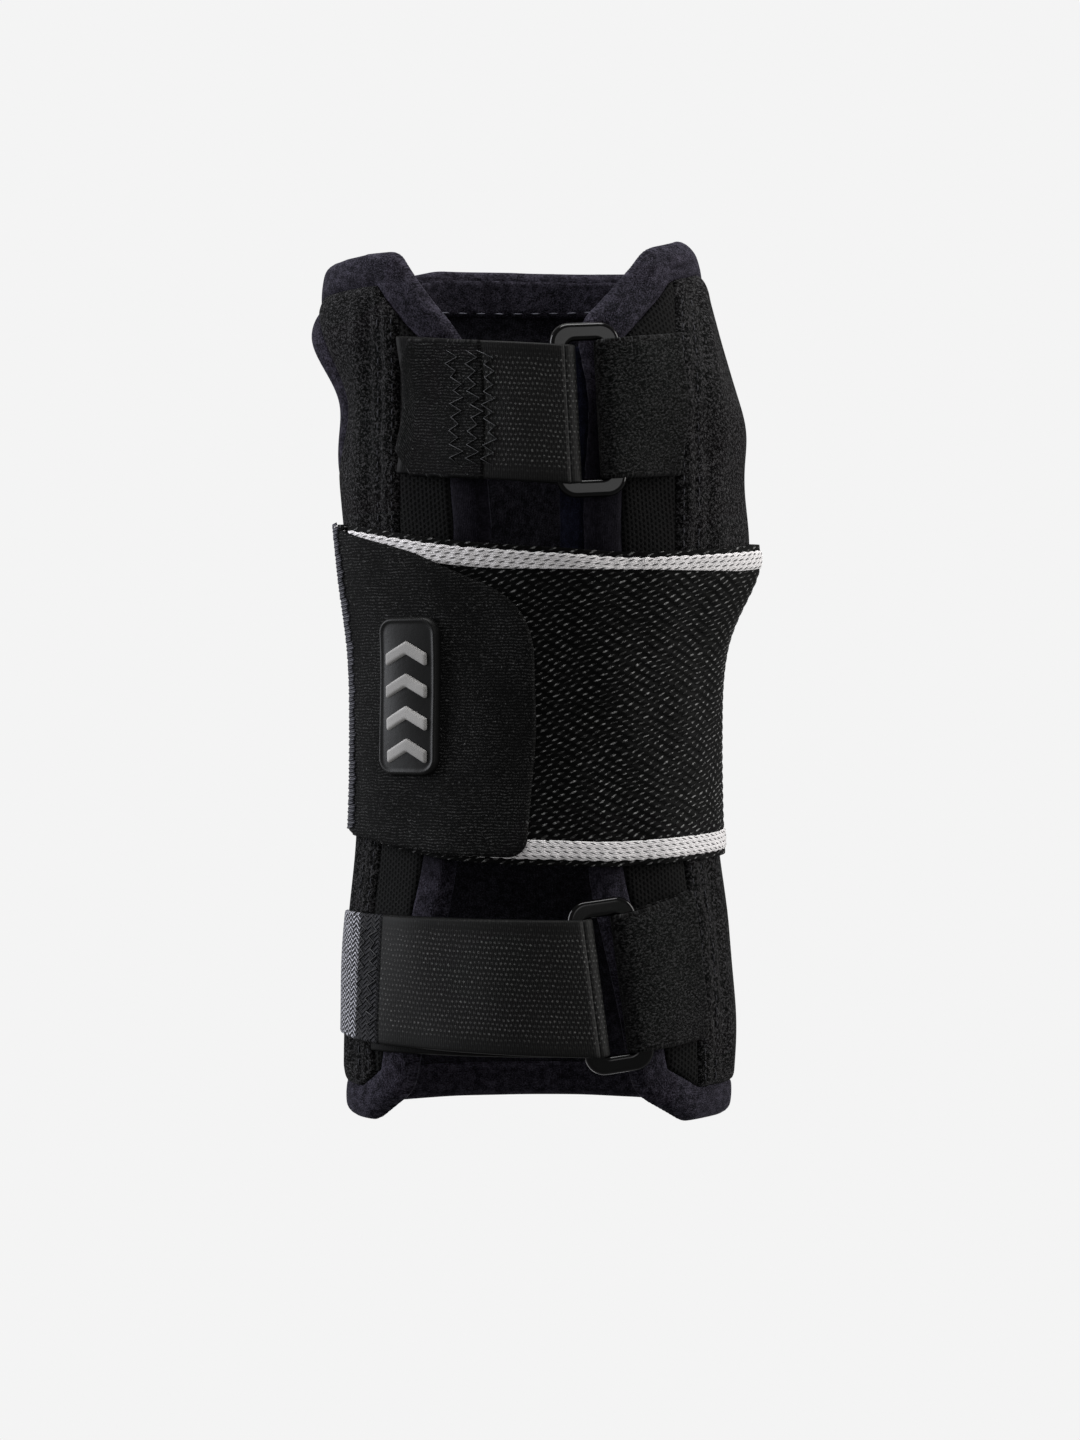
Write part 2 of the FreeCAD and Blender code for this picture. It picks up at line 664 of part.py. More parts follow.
def closure(side):
    """Ring, its anchor tab, and the strap that runs through the ring and back."""
    ring(side)
    ends = STRAP_ENDS[side]
    inner_low, inner_high = fold_line(side, 1, -1, dim("fold_overlap"))
    outer_low, outer_high = fold_line(side, 1, 1, -dim("fold_gap"))
    leg_x, leg_low, leg_high = ends["leg"]
    joint_x, joint_low, joint_high = ends["joint"]
    low = layer(LEG_IN, LEG_OUT)
    leg = prism(side + "_leg", [(leg_x, leg_low, 0), inner_low, inner_high, (leg_x, leg_high, 0)])
    node(side + "_strap_leg", common(side + "_strap_leg", low, leg))
    nodes.append((side + "_strap_fold", half_sleeve(side + "_strap_fold", side, 1)))
    back = returning_layer(side)
    strap = prism(side + "_return", [(joint_x, joint_low, 0), outer_low, outer_high,
                                     (joint_x, joint_high, 0)])
    node(side + "_strap_return", common(side + "_strap_return", back, strap))
    tab = prism(side + "_tab", [(joint_x, joint_low, 0), (joint_x, joint_high, 0)] + STRAP_TIPS[side],
                reach, "-dims.strap_rear")
    node(side + "_hook_tab", common(side + "_hook_tab", back, tab))

    near_low, near_high = fold_line(side, -1, -1, dim("fold_overlap"))
    far_low, far_high = RING_TAB_ENDS[side]
    under = prism(side + "_ring_tab_under", [near_low, (*far_low, 1), (*far_high, 1), near_high])
    node(side + "_ring_tab_under", common(side + "_ring_tab_under", low, under))
    node(side + "_ring_tab_over", over_leg(side))
    nodes.append((side + "_ring_tab_fold", half_sleeve(side + "_ring_tab_fold", side, -1)))


closure("upper")
closure("lower")

# ---------------------------------------------------------------- wrist band, hook tab and badge
band_all = common("band_all", layer(BAND_IN, BAND_OUT), prism("band", BAND_OUTLINE, reach, reach))
band_gap = region("band_gap", "-dims.reach", "dims.band_front_x", "-dims.reach",
                  "dims.band_hinge_y + dims.band_slit")
node("wrist_band", cut("wrist_band", band_all, band_gap))
band_end_zone = region("band_end_zone", "-dims.reach", "dims.band_front_x", "dims.band_end_front_y",
                       "dims.band_hinge_y - dims.band_slit")
node("wrist_band_end", common("wrist_band_end", band_all, band_end_zone))

ahead_of_tab_left = region("ahead_of_tab_left", "-dims.reach", reach, "-dims.reach", "dims.hook_tab_left_y")
node("wrist_hook_tab", common("wrist_hook_tab", layer(TAB_IN, TAB_OUT),
                              prism("hook_tab", HOOK_TAB_OUTLINE), ahead_of_tab_left))
node("badge_plate", common("badge_plate", layer(TAB_OUT, BADGE_OUT), prism("badge", BADGE_OUTLINE)))


def chevron(index):
    """One upward chevron of the badge's pattern."""
    x, z = BADGE_MIDDLE
    base = z + (index - (BADGE_BAR_COUNT - 1) / 2) * BADGE_BAR_PITCH - BADGE_BAR_HEIGHT / 2
    wide, rise, tall = BADGE_BAR_HALF_WIDTH, BADGE_BAR_RISE, BADGE_BAR_HEIGHT
    return [(x - wide, base - rise / 2, 0.4), (x, base + rise / 2, 0.4), (x + wide, base - rise / 2, 0.4),
            (x + wide, base - rise / 2 + tall, 0.4), (x, base + rise / 2 + tall, 0.4),
            (x - wide, base - rise / 2 + tall, 0.4)]


bars = [prism(f"badge_bar_{i}", chevron(i)) for i in range(BADGE_BAR_COUNT)]
node("badge_bars", common("badge_bars", layer(BADGE_OUT, RELIEF_OUT), fuse("badge_bar_group", *bars)))

# ---------------------------------------------------------------- checks and export
doc.recompute()
problems = []
for thing in doc.Objects:
    if "Invalid" in thing.State or "Error" in thing.State:
        problems.append(f"{thing.Name} is {thing.State}")
placed = {}
for name, thing in nodes:
    shape = thing.Shape.copy()
    if shape.isNull() or not shape.isValid() or not shape.Solids:
        problems.append(f"{name} has no valid solid")
        continue
    shape.translate(FreeCAD.Vector(dim("origin_x"), dim("origin_y"), 0))
    placed[name] = shape
    box = shape.optimalBoundingBox(False)
    print(f"{name:26s} solids {len(shape.Solids)}  volume {shape.Volume:9.1f}"
          f"  x {box.XMin:6.1f} {box.XMax:6.1f}  y {box.YMin:6.1f} {box.YMax:6.1f}"
          f"  z {box.ZMin:6.1f} {box.ZMax:6.1f}")
if problems:
    raise RuntimeError("; ".join(problems))

os.makedirs("parts", exist_ok=True)
for name, shape in placed.items():
    shape.exportStep(f"parts/{name}.step")
print(len(placed), "nodes written")
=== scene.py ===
"""Wrist guard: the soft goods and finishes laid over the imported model.

All cloth is worked out in millimetres on the sleeve's own surface.  A place on the sleeve is
(run, height, rise): run is the distance round the sleeve from the middle of its front, positive to
the little-finger side, height is along the forearm and rise is the distance out of the shell's face.
"""

import math

import bpy
import numpy as np
from mathutils import Matrix, Vector


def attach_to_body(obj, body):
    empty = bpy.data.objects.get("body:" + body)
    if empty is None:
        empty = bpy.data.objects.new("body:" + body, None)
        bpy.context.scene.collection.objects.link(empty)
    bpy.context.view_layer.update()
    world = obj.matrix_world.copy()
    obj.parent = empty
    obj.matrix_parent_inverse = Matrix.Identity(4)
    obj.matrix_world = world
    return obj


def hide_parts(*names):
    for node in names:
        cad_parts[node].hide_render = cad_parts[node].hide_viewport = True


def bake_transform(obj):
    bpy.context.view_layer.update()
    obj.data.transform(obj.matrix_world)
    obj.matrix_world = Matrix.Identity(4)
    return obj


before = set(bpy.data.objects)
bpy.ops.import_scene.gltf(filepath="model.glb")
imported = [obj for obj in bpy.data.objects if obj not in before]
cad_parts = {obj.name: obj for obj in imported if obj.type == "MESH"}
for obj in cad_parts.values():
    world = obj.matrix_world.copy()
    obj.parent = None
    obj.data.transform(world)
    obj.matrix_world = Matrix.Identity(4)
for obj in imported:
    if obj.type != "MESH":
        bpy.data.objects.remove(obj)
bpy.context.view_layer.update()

MM = 0.001

# ---- the sleeve's surface
# height, half width, half depth, sideways shift of the centre
LEVELS = np.array([
    (0, 45.2, 31.0, -0.2), (20, 45.9, 30.8, 0.3), (45, 44.3, 29.2, 0.5), (65, 42.2, 28.0, 0.4),
    (90, 41.8, 27.0, 0.1), (112, 42.6, 27.5, 0.7), (132, 46.9, 28.5, 2.3), (150, 47.5, 29.0, 1.2),
    (170, 47.2, 29.3, 0.4), (188, 46.8, 29.3, -4.2), (208, 43.6, 28.5, -6.5),
])
ORIGIN_X, ORIGIN_Y = 0.5, 2.5
GUARD_HEIGHT = 207.0
MEAN_HALF_WIDTH, MEAN_HALF_DEPTH = 45.0, 29.0
SHELL_THICKNESS = 3.0
TAPE_WIDTH = 8.5

TURNS = np.linspace(-2 * math.pi, 2 * math.pi, 4001)
_speed = np.hypot(MEAN_HALF_WIDTH * np.cos(TURNS), MEAN_HALF_DEPTH * np.sin(TURNS))
RUNS = np.concatenate([[0], np.cumsum((_speed[1:] + _speed[:-1]) / 2 * np.diff(TURNS))])
RUNS -= RUNS[2000]
GIRTH = RUNS[3000] * 2


def smooth_curve(table, index, at):
    """One column of a table at any value of its first column, on a smooth curve through the rows."""
    places, values = table[:, 0], table[:, index]
    slopes = np.gradient(values, places)
    at = np.asarray(at, float)
    i = np.clip(np.searchsorted(places, at) - 1, 0, len(places) - 2)
    span = places[i + 1] - places[i]
    t = np.clip((at - places[i]) / span, -0.3, 1.2)
    return ((2 * t**3 - 3 * t**2 + 1) * values[i] + (t**3 - 2 * t**2 + t) * span * slopes[i]
            + (3 * t**2 - 2 * t**3) * values[i + 1] + (t**3 - t**2) * span * slopes[i + 1])


def column(height, index):
    return smooth_curve(LEVELS, index, height)


def bell(away, width):
    """1 where away is 0, falling smoothly to 0 a few widths off."""
    return np.exp(-(away / width) ** 2)


# side, height, how far out, spread round the sleeve, spread along it
SWELLS = [(1, 164, 1.3, 14, 8), (-1, 171, -0.9, 12, 7), (-1, 24, -0.8, 12, 14), (1, 22, 0.7, 12, 12)]


def waves(run, height):
    """Slow unevenness that every layer of the sleeve shares."""
    run, height = np.asarray(run, float), np.asarray(height, float)
    around = 2 * math.pi * run / GIRTH
    total = (0.22 * np.sin(5 * around + height / 19.0) + 0.16 * np.sin(9 * around - height / 11.0)
             + 0.12 * np.sin(14 * around + height / 7.5))
    for side, middle_height, out, spread, length in SWELLS:
        away = np.abs((run - side * GIRTH / 4 + GIRTH / 2) % GIRTH - GIRTH / 2)
        total = total + out * np.exp(-(away / spread) ** 2 - ((height - middle_height) / length) ** 2)
    return total


def skin(run, height, rise):
    """Point on the sleeve, in the part's frame, in millimetres."""
    turn = np.interp(run, RUNS, TURNS)
    rise = rise + waves(run, height)
    x = ORIGIN_X + column(height, 3) + (column(height, 1) + rise) * np.sin(turn)
    y = ORIGIN_Y - (column(height, 2) + rise) * np.cos(turn)
    return np.stack([x, y, np.broadcast_to(height, np.shape(x))], -1)


def run_at(x, height):
    """Run of the point of the front face at x, measured from the middle of the front view."""
    turn = np.arcsin(np.clip((np.asarray(x, float) - column(height, 3)) / column(height, 1), -1, 1))
    return np.interp(turn, TURNS, RUNS)


def run_of_turn(turn):
    return float(np.interp(turn, TURNS, RUNS))


def run_at_depth(y, side, height):
    """Run where the sleeve's side reaches depth y; side is -1 for the thumb side, +1 for the other."""
    return side * run_of_turn(math.acos(-y / float(column(height, 2))))


# ---- outlines on the cloth
def rounded(corners):
    """Closed outline with arcs at its corners, from (run, height, radius) corners."""
    points = []
    count = len(corners)
    for i in range(count):
        before, here, after = (np.array(corners[k % count][:2], float) for k in (i - 1, i, i + 1))
        radius = corners[i][2]
        back = (before - here) / np.linalg.norm(before - here)
        ahead = (after - here) / np.linalg.norm(after - here)
        half = math.acos(np.clip(back @ ahead, -1, 1)) / 2
        if radius == 0 or half > 1.56:
            points.append(here)
            continue
        centre = here + (back + ahead) / np.linalg.norm(back + ahead) * radius / math.sin(half)
        first = here + back * radius / math.tan(half) - centre
        last = here + ahead * radius / math.tan(half) - centre
        sweep = math.atan2(first[0] * last[1] - first[1] * last[0], first @ last)
        steps = max(3, int(abs(sweep) * radius / 1.5), int(abs(sweep) / 0.2))
        for k in range(steps + 1):
            c, s = math.cos(sweep * k / steps), math.sin(sweep * k / steps)
            points.append(centre + np.array([c * first[0] - s * first[1], s * first[0] + c * first[1]]))
    return np.array(points)


def front(corners, offset=0.0):
    """Front-view (x, height, radius) corners as (run, height, radius) corners."""
    return [(float(run_at(x, h)) + offset, h, r) for x, h, r in corners]


def inside(run, height, outline):
    """Distance from a closed outline, positive inside."""
    best = np.full(run.shape, 1e9)
    odd = np.zeros(run.shape, bool)
    for a, b in zip(outline, np.roll(outline, -1, 0)):
        d = b - a
        length = d @ d
        if length < 1e-9:
            continue
        t = np.clip(((run - a[0]) * d[0] + (height - a[1]) * d[1]) / length, 0, 1)
        best = np.minimum(best, np.hypot(run - a[0] - t * d[0], height - a[1] - t * d[1]))
        if abs(d[1]) > 1e-9:
            hit = (a[1] > height) != (b[1] > height)
            odd ^= hit & (run < d[0] * (height - a[1]) / d[1] + a[0])
    return np.where(odd, best, -best)


SIDE_RUN = run_of_turn(math.pi / 2)
SEAM_RUN = run_of_turn(math.pi - math.asin(31 / MEAN_HALF_WIDTH))
BACK_RUN = -GIRTH / 2

# The opening's edges, as front-view (x, height, corner radius).
LEFT_EDGE = [(-39, 0, 5), (-30, 7.5, 8), (-20.5, 56, 40), (-11, 140, 60), (-16.5, 184, 25),
             (-33.6, 205.4, 4)]
RIGHT_EDGE = [(35.4, 210.0, 3.5), (26.5, 206.5, 14), (9.5, 187, 15), (11, 138, 60), (13, 56, 60),
              (23.5, 7.5, 10), (35.5, 0, 7)]
SHELL_OUTLINE = rounded(
    front(LEFT_EDGE)
    + [(float(run_at(-41, 204)), 205.4, 8), (-SIDE_RUN + 5, 204.4, 8), (-SIDE_RUN - 10, 198.5, 12),
       (-SEAM_RUN, 204.3, 10), (-SEAM_RUN - 12, 207, 20), (BACK_RUN, 207, 0),
       (-GIRTH + SEAM_RUN, 205.6, 0), (-GIRTH + SIDE_RUN + 6, 207, 20),
       (-GIRTH + float(run_at(44, 206)), 209.0, 8)]
    + front(RIGHT_EDGE, -GIRTH)
    + [(BACK_RUN, 0, 0)])

# The seams between mesh and pocket, as front-view (x, height).
LEFT_SEAM = [(-37, 0), (-38.5, 46), (-36.5, 66), (-32, 130), (-32, 212)]
RIGHT_SEAM = [(38, 0), (36.5, 45), (34, 62), (32.5, 130), (32, 212)]
THUMB_RUN, THUMB_HEIGHT = -SIDE_RUN - 9.5, 173.0
THUMB_HALF_WIDTH, THUMB_HALF_HEIGHT = 13.0, 18.0


def seam_run(seam, height, offset):
    """Run of a seam at a height; offset is -GIRTH for seams reached by going round the back."""
    xs, heights = zip(*seam)
    return run_at(np.interp(height, heights, xs), height) + offset


def from_thumb_hole(run, height):
    """Distance outside the thumb hole's oval."""
    u, v = (run - THUMB_RUN) / THUMB_HALF_WIDTH, (height - THUMB_HEIGHT) / THUMB_HALF_HEIGHT
    q = np.hypot(u, v) + 1e-9
    slope = np.hypot(u / THUMB_HALF_WIDTH, v / THUMB_HALF_HEIGHT) / q
    return (q - 1) / slope


# ---- meshes
def new_object(name, points, faces, cloth, material):
    """Mesh object from millimetre points, with its cloth coordinates as an attribute."""
    mesh = bpy.data.meshes.new(name)
    mesh.from_pydata((np.asarray(points) * MM).tolist(), [], faces)
    mesh.update()
    store = mesh.attributes.new("cloth", "FLOAT_VECTOR", "POINT")
    store.data.foreach_set("vector", np.asarray(cloth, np.float32).ravel())
    mesh.polygons.foreach_set("use_smooth", [True] * len(mesh.polygons))
    piece = bpy.data.objects.new(name, mesh)
    bpy.context.collection.objects.link(piece)
    mesh.materials.append(material)
    return piece


def clip_grid(field, runs, heights):
    """The part of a grid where field is positive: points, faces, and the cut edges in face order."""
    keep = field > 0
    index = np.full(field.shape, -1)
    index[keep] = np.arange(keep.sum())
    gi, gj = np.nonzero(keep)
    points = [np.stack([runs[gi], heights[gj]], 1)]
    total = len(gi)
    across = np.full(field.shape, -1)
    upward = np.full(field.shape, -1)
    for table, di, dj in ((across, 1, 0), (upward, 0, 1)):
        a, b = field[:field.shape[0] - di, :field.shape[1] - dj], field[di:, dj:]
        ci, cj = np.nonzero((a > 0) != (b > 0))
        t = a[ci, cj] / (a[ci, cj] - b[ci, cj])
        points.append(np.stack([runs[ci] + t * (runs[ci + di] - runs[ci]),
                                heights[cj] + t * (heights[cj + dj] - heights[cj])], 1))
        table[ci, cj] = total + np.arange(len(ci))
        total += len(ci)
    corners = np.stack([keep[:-1, :-1], keep[1:, :-1], keep[1:, 1:], keep[:-1, 1:]], -1)
    full = corners.all(-1)
    fi, fj = np.nonzero(full)
    faces = np.stack([index[fi, fj], index[fi + 1, fj], index[fi + 1, fj + 1], index[fi, fj + 1]], 1)
    faces = faces.tolist()
    rim = []
    for i, j in zip(*np.nonzero(corners.any(-1) & ~full)):
        around = ((i, j), (i + 1, j), (i + 1, j + 1), (i, j + 1))
        cuts = (across[i, j], upward[i + 1, j], across[i, j + 1], upward[i, j])
        face = []
        for k in range(4):
            if keep[around[k]]:
                face.append(int(index[around[k]]))
            if cuts[k] >= 0:
                face.append(int(cuts[k]))
        if len(face) < 3:
            continue
        faces.append(face)
        first_cut = len(points[0])
        rim += [(a, b) for a, b in zip(face, face[1:] + face[:1]) if a >= first_cut and b >= first_cut]
    return np.concatenate(points), faces, rim


def patch(name, material, field, run_span, height_span, step, top, bottom, cloth=None):
    """Closed thin piece of cloth on the sleeve, wherever field is positive.

    top and bottom give the two faces' rises from (run, height, distance inside the outline).
    """
    runs = np.arange(run_span[0], run_span[1] + step, step)
    heights = np.arange(height_span[0], height_span[1] + step, step)
    grid_run, grid_height = np.meshgrid(runs, heights, indexing="ij")
    values = field(grid_run, grid_height)
    values[0], values[-1], values[:, 0], values[:, -1] = -1, -1, -1, -1
    flat, faces, rim = clip_grid(values, runs, heights)
    run, height = flat[:, 0], flat[:, 1]
    depth = np.maximum(field(run, height), 0)
    upper = skin(run, height, top(run, height, depth))
    lower = skin(run, height, bottom(run, height, depth))
    count = len(flat)
    faces = (faces + [[k + count for k in reversed(face)] for face in faces]
             + [[b, a, a + count, b + count] for a, b in rim])
    coords = np.stack([run, height, depth], 1) if cloth is None else cloth(run, height, depth)
    return new_object(name, np.concatenate([upper, lower]), faces, np.concatenate([coords] * 2), material)


class Ribbon:
    """Middle surface of a strap: rows along its length, columns across its width."""

    def __init__(self, grid):
        self.grid = np.asarray(grid, float)
        along = np.gradient(self.grid, axis=0)
        across = np.gradient(self.grid, axis=1)
        normal = np.cross(along, across)
        self.normal = normal / np.linalg.norm(normal, axis=2, keepdims=True)
        steps = np.linalg.norm(np.diff(self.grid[:, self.grid.shape[1] // 2], axis=0), axis=1)
        self.length = np.concatenate([[0], np.cumsum(steps)])

    def at(self, length, column_place, lift):
        """Point at a length along the strap and a place from 0 to 1 across it."""
        row = float(np.interp(length, self.length, np.arange(len(self.length))))
        col = column_place * (self.grid.shape[1] - 1)
        i, j = min(int(row), self.grid.shape[0] - 2), min(int(col), self.grid.shape[1] - 2)
        u, v = row - i, col - j

        def blend(table):
            return ((1 - u) * (1 - v) * table[i, j] + u * (1 - v) * table[i + 1, j]
                    + (1 - u) * v * table[i, j + 1] + u * v * table[i + 1, j + 1])
        return blend(self.grid) + lift * blend(self.normal)


def ribbon_piece(name, ribbon, material, thickness, rows):
    """Closed solid of a run of a ribbon's rows, with rounded side edges."""
    first, last = rows
    grid, normal = ribbon.grid[first:last + 1], ribbon.normal[first:last + 1]
    half = thickness / 2
    outward = grid[:, -1] - grid[:, -2]
    outward /= np.linalg.norm(outward, axis=1, keepdims=True)
    rings, coords = [], []
    widths = np.linalg.norm(grid[:, 1:] - grid[:, :-1], axis=2)
    across = np.concatenate([np.zeros((len(grid), 1)), np.cumsum(widths, 1)], 1)
    rounding = [math.radians(angle) for angle in (60, 0, -60)]
    for i in range(len(grid)):
        ring, places = [], []
        for way in (1, -1):
            row, lift, place = grid[i, ::way], normal[i, ::way] * half * way, across[i, ::way]
            ring += list(row + lift)
            ring += [row[-1] + lift[-1] * math.sin(angle) + way * outward[i] * half * math.cos(angle)
                     for angle in rounding]
            places += [*place] + [place[-1]] * len(rounding)
        rings.append(ring)
        total = across[i, -1]
        coords += [(ribbon.length[first + i], p, min(p, total - p)) for p in places]
    size = len(rings[0])
    faces = []
    for i in range(len(rings) - 1):
        for k in range(size):
            a, b = i * size + k, i * size + (k + 1) % size
            faces.append([a, b, b + size, a + size])
    end = (len(rings) - 1) * size
    faces.append(list(range(size))[::-1])
    faces.append([end + k for k in range(size)])
    return new_object(name, np.array(rings).reshape(-1, 3), faces, coords, material)


def threads(name, paths, radius, material, body):
    """Stitches as one object of short round threads along open paths."""
    sides = 6
    points, faces = [], []
    for path in paths:
        path = np.asarray(path, float)
        tangent = np.gradient(path, axis=0)
        tangent /= np.linalg.norm(tangent, axis=1, keepdims=True) + 1e-12
        side = np.cross(tangent, (0.0, 1.0, 0.0) if abs(tangent[0, 1]) < 0.8 else (1.0, 0.0, 0.0))
        side /= np.linalg.norm(side, axis=1, keepdims=True) + 1e-12
        up = np.cross(side, tangent)
        taper = np.ones(len(path))
        taper[0] = taper[-1] = 0.35
        base = len(points)
        for i in range(len(path)):
            for k in range(sides):
                angle = 2 * math.pi * k / sides
                spoke = math.cos(angle) * side[i] + math.sin(angle) * up[i]
                points.append(path[i] + radius * taper[i] * spoke)
        for i in range(len(path) - 1):
            for k in range(sides):
                a, b = base + i * sides + k, base + i * sides + (k + 1) % sides
                faces.append([a, a + sides, b + sides, b])
        faces.append([base + k for k in range(sides)])
        faces.append([base + (len(path) - 1) * sides + k for k in reversed(range(sides))])
    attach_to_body(new_object(name, points, faces, points, material), body)


def running_stitches(route, rise, stitch=2.2, gap=0.9):
    """Short stitches along a (run, height) polyline on the sleeve."""
    route = np.asarray(route, float)
    steps = np.hypot(*np.diff(route, axis=0).T)
    length = np.concatenate([[0], np.cumsum(steps)])
    arch = np.array([-0.15, 0.1, 0.1, -0.15])
    paths = []
    for start in np.arange(0.4, length[-1] - stitch, stitch + gap):
        t = np.linspace(start, start + stitch, len(arch))
        run, height = np.interp(t, length, route[:, 0]), np.interp(t, length, route[:, 1])
        paths.append(skin(run, height, rise + arch))
    return paths


# ---- materials
class Value:
    """A shader number that adds, multiplies and so on with others."""

    def __init__(self, graph, socket):
        self.graph, self.socket = graph, socket

    def __add__(self, other):
        return self.graph.math("ADD", self, other)

    def __sub__(self, other):
        return self.graph.math("SUBTRACT", self, other)

    def __rsub__(self, other):
        return self.graph.math("SUBTRACT", other, self)

    def __mul__(self, other):
        return self.graph.math("MULTIPLY", self, other)

    def __truediv__(self, other):
        return self.graph.math("DIVIDE", self, other)

    def clamped(self):
        self.socket.node.use_clamp = True
        return self


def set_inputs(node, **values):
    """Sets a node's inputs; an underscore stands for a space in an input's name."""
    for name, value in values.items():
        node.inputs[name.replace("_", " ")].default_value = value


class Graph:
    """One material and short names for its shader nodes."""

    def __init__(self, name, roughness, specular=0.012, sheen=0.0, sheen_tint=(1, 1, 1)):
        self.material = bpy.data.materials.new(name)
        self.material.use_nodes = True
        self.nodes = self.material.node_tree.nodes
        self.links = self.material.node_tree.links
        self.shader = self.nodes["Principled BSDF"]
        set_inputs(self.shader, Roughness=roughness, Specular_IOR_Level=specular, Sheen_Weight=sheen,
                   Sheen_Roughness=0.5, Sheen_Tint=(*sheen_tint, 1))
        attribute = self.nodes.new("ShaderNodeAttribute")
        attribute.attribute_name = "cloth"
        self.cloth = attribute.outputs["Vector"]
        split = self.nodes.new("ShaderNodeSeparateXYZ")
        self.links.new(self.cloth, split.inputs[0])
        self.u, self.v, self.w = (Value(self, socket) for socket in split.outputs)

    def plug(self, socket, value):
        if isinstance(value, Value):
            value = value.socket
        if isinstance(value, bpy.types.NodeSocket):
            self.links.new(value, socket)
        else:
            socket.default_value = value

    def math(self, operation, *values):
        node = self.nodes.new("ShaderNodeMath")
        node.operation = operation
        for socket, value in zip(node.inputs, values):
            self.plug(socket, value)
        return Value(self, node.outputs[0])

    def object_place(self):
        return self.nodes.new("ShaderNodeTexCoord").outputs["Object"]

    def noise(self, scale, detail=2.0, roughness=0.5, vector=None):
        """Noise over the cloth's own millimetres, or over another vector."""
        node = self.nodes.new("ShaderNodeTexNoise")
        self.plug(node.inputs["Vector"], self.cloth if vector is None else vector)
        set_inputs(node, Scale=scale, Detail=detail, Roughness=roughness)
        return Value(self, node.outputs["Fac"])

    def ramp(self, value, low, high, low_out=0.0, high_out=1.0):
        node = self.nodes.new("ShaderNodeMapRange")
        node.interpolation_type = "SMOOTHSTEP"
        for socket, number in zip(node.inputs, (value, low, high, low_out, high_out)):
            self.plug(socket, number)
        return Value(self, node.outputs[0])

    def wave(self, value, pitch):
        return self.math("SINE", value * (2 * math.pi / pitch))

    def row(self, value, pitch):
        """Number of the repeating cell that value is in."""
        return self.math("FLOOR", value / pitch)

    def cell(self, value, pitch):
        """Distance from the middle of a repeating cell, in millimetres."""
        return (self.math("FRACT", value / pitch) - 0.5) * pitch

    def spot(self, across, up, half_width, half_height, edge):
        """1 in the middle of an oval spot, 0 outside it."""
        a, b = (self.math("POWER", self.math("ABSOLUTE", part), 2.0)
                for part in (across / half_width, up / half_height))
        return self.ramp(a + b, 1.0 + edge, 1.0 - edge)

    def finish(self, dark, light, level, height, bump, distance):
        """Colour from dark to light by level, and relief by height."""
        mix = self.nodes.new("ShaderNodeMix")
        mix.data_type = "RGBA"
        self.plug(mix.inputs[0], level)
        for socket, colour in zip(mix.inputs[6:8], (dark, light)):
            self.plug(socket, (*colour, 1))
        self.plug(self.shader.inputs["Base Color"], mix.outputs[2])
        relief = self.nodes.new("ShaderNodeBump")
        set_inputs(relief, Strength=bump, Distance=distance)
        self.plug(relief.inputs["Height"], height)
        self.links.new(relief.outputs["Normal"], self.shader.inputs["Normal"])
        return self.material


def jersey(name, dark, light, shaded_heights=None):
    """Fine knit: narrow wales under a soft nap, with painted shade that darkens the knit between the shaded
    heights when they are given.
    """
    g = Graph(name, 0.8, 0.012, 0.010, (0.75, 0.72, 1.0))
    nap = g.noise(0.5, 3.0, 0.6)
    fine = g.noise(2.6, 3.0, 0.8)
    level = g.ramp(nap * 0.3 + fine * 0.7, 0.42, 0.66)
    # Painted shade: between the two heights the knit's colour is pulled towards its dark end.
    if shaded_heights:
        low, high = shaded_heights
        unshaded = (g.ramp(g.v, low, low - 10) + g.ramp(g.v, high, high + 22)).clamped()
        level = level * (unshaded * 0.78 + 0.22)
    return g.finish(dark, light, level, fine * 0.7 + g.wave(g.u, 0.42) * 0.12, 0.35, 0.0003)


def pile(name, dark, light):
    """Brushed loop: mottled short pile."""
    g = Graph(name, 0.9, 0.01, 0.006)
    value = g.noise(1.5, 3.0, 0.7) * 0.6 + g.noise(4.2, 3.0, 0.7) * 0.4
    return g.finish(dark, light, g.ramp(value, 0.47, 0.62), value, 0.9, 0.0006)


def spacer_mesh(name, dark, light):
    """Knitted mesh: slanted open cells in staggered rows."""
    g = Graph(name, 0.7)
    row_pitch, cell_pitch = 0.95, 1.35
    shifted = g.v + g.row(g.u, row_pitch) * (cell_pitch / 2)
    closed = 1.0 - g.spot(g.cell(g.u, row_pitch), g.cell(shifted, cell_pitch), 0.3, 0.42, 0.45)
    level = (closed * g.ramp(g.noise(5.0, 2.0, 0.6), 0.3, 0.7)).clamped()
    return g.finish(dark, light, level, closed, 0.7, 0.0004)


def hook_dots(name, dark, light):
    """Hook tape: rows of small hooks on a woven ground, plain along both edges."""
    g = Graph(name, 0.6, 0.03)
    row_pitch, dot_pitch = 1.18, 1.05
    v = g.v + (g.noise(0.25) - 0.5) * 0.8
    u = g.u + g.row(v, row_pitch) * (dot_pitch / 2)
    dot = g.spot(g.cell(u, dot_pitch), g.cell(v, row_pitch), 0.28, 0.3, 0.7)
    uneven = g.ramp(g.noise(1.4, 3.0, 0.7), 0.42, 0.72, 0.08, 1.0)
    away = g.ramp(g.w, 1.2, 4.6, 0.12, 1.0)
    dots = dot * uneven * away
    rib = g.ramp(g.wave(g.u, 0.51), -0.4, 1.0) * 0.12
    fine = g.noise(6.0, 2.0)
    return g.finish(dark, light, (dots + rib * fine + fine * 0.05).clamped(), dots + rib * 0.5, 0.6, 0.0004)


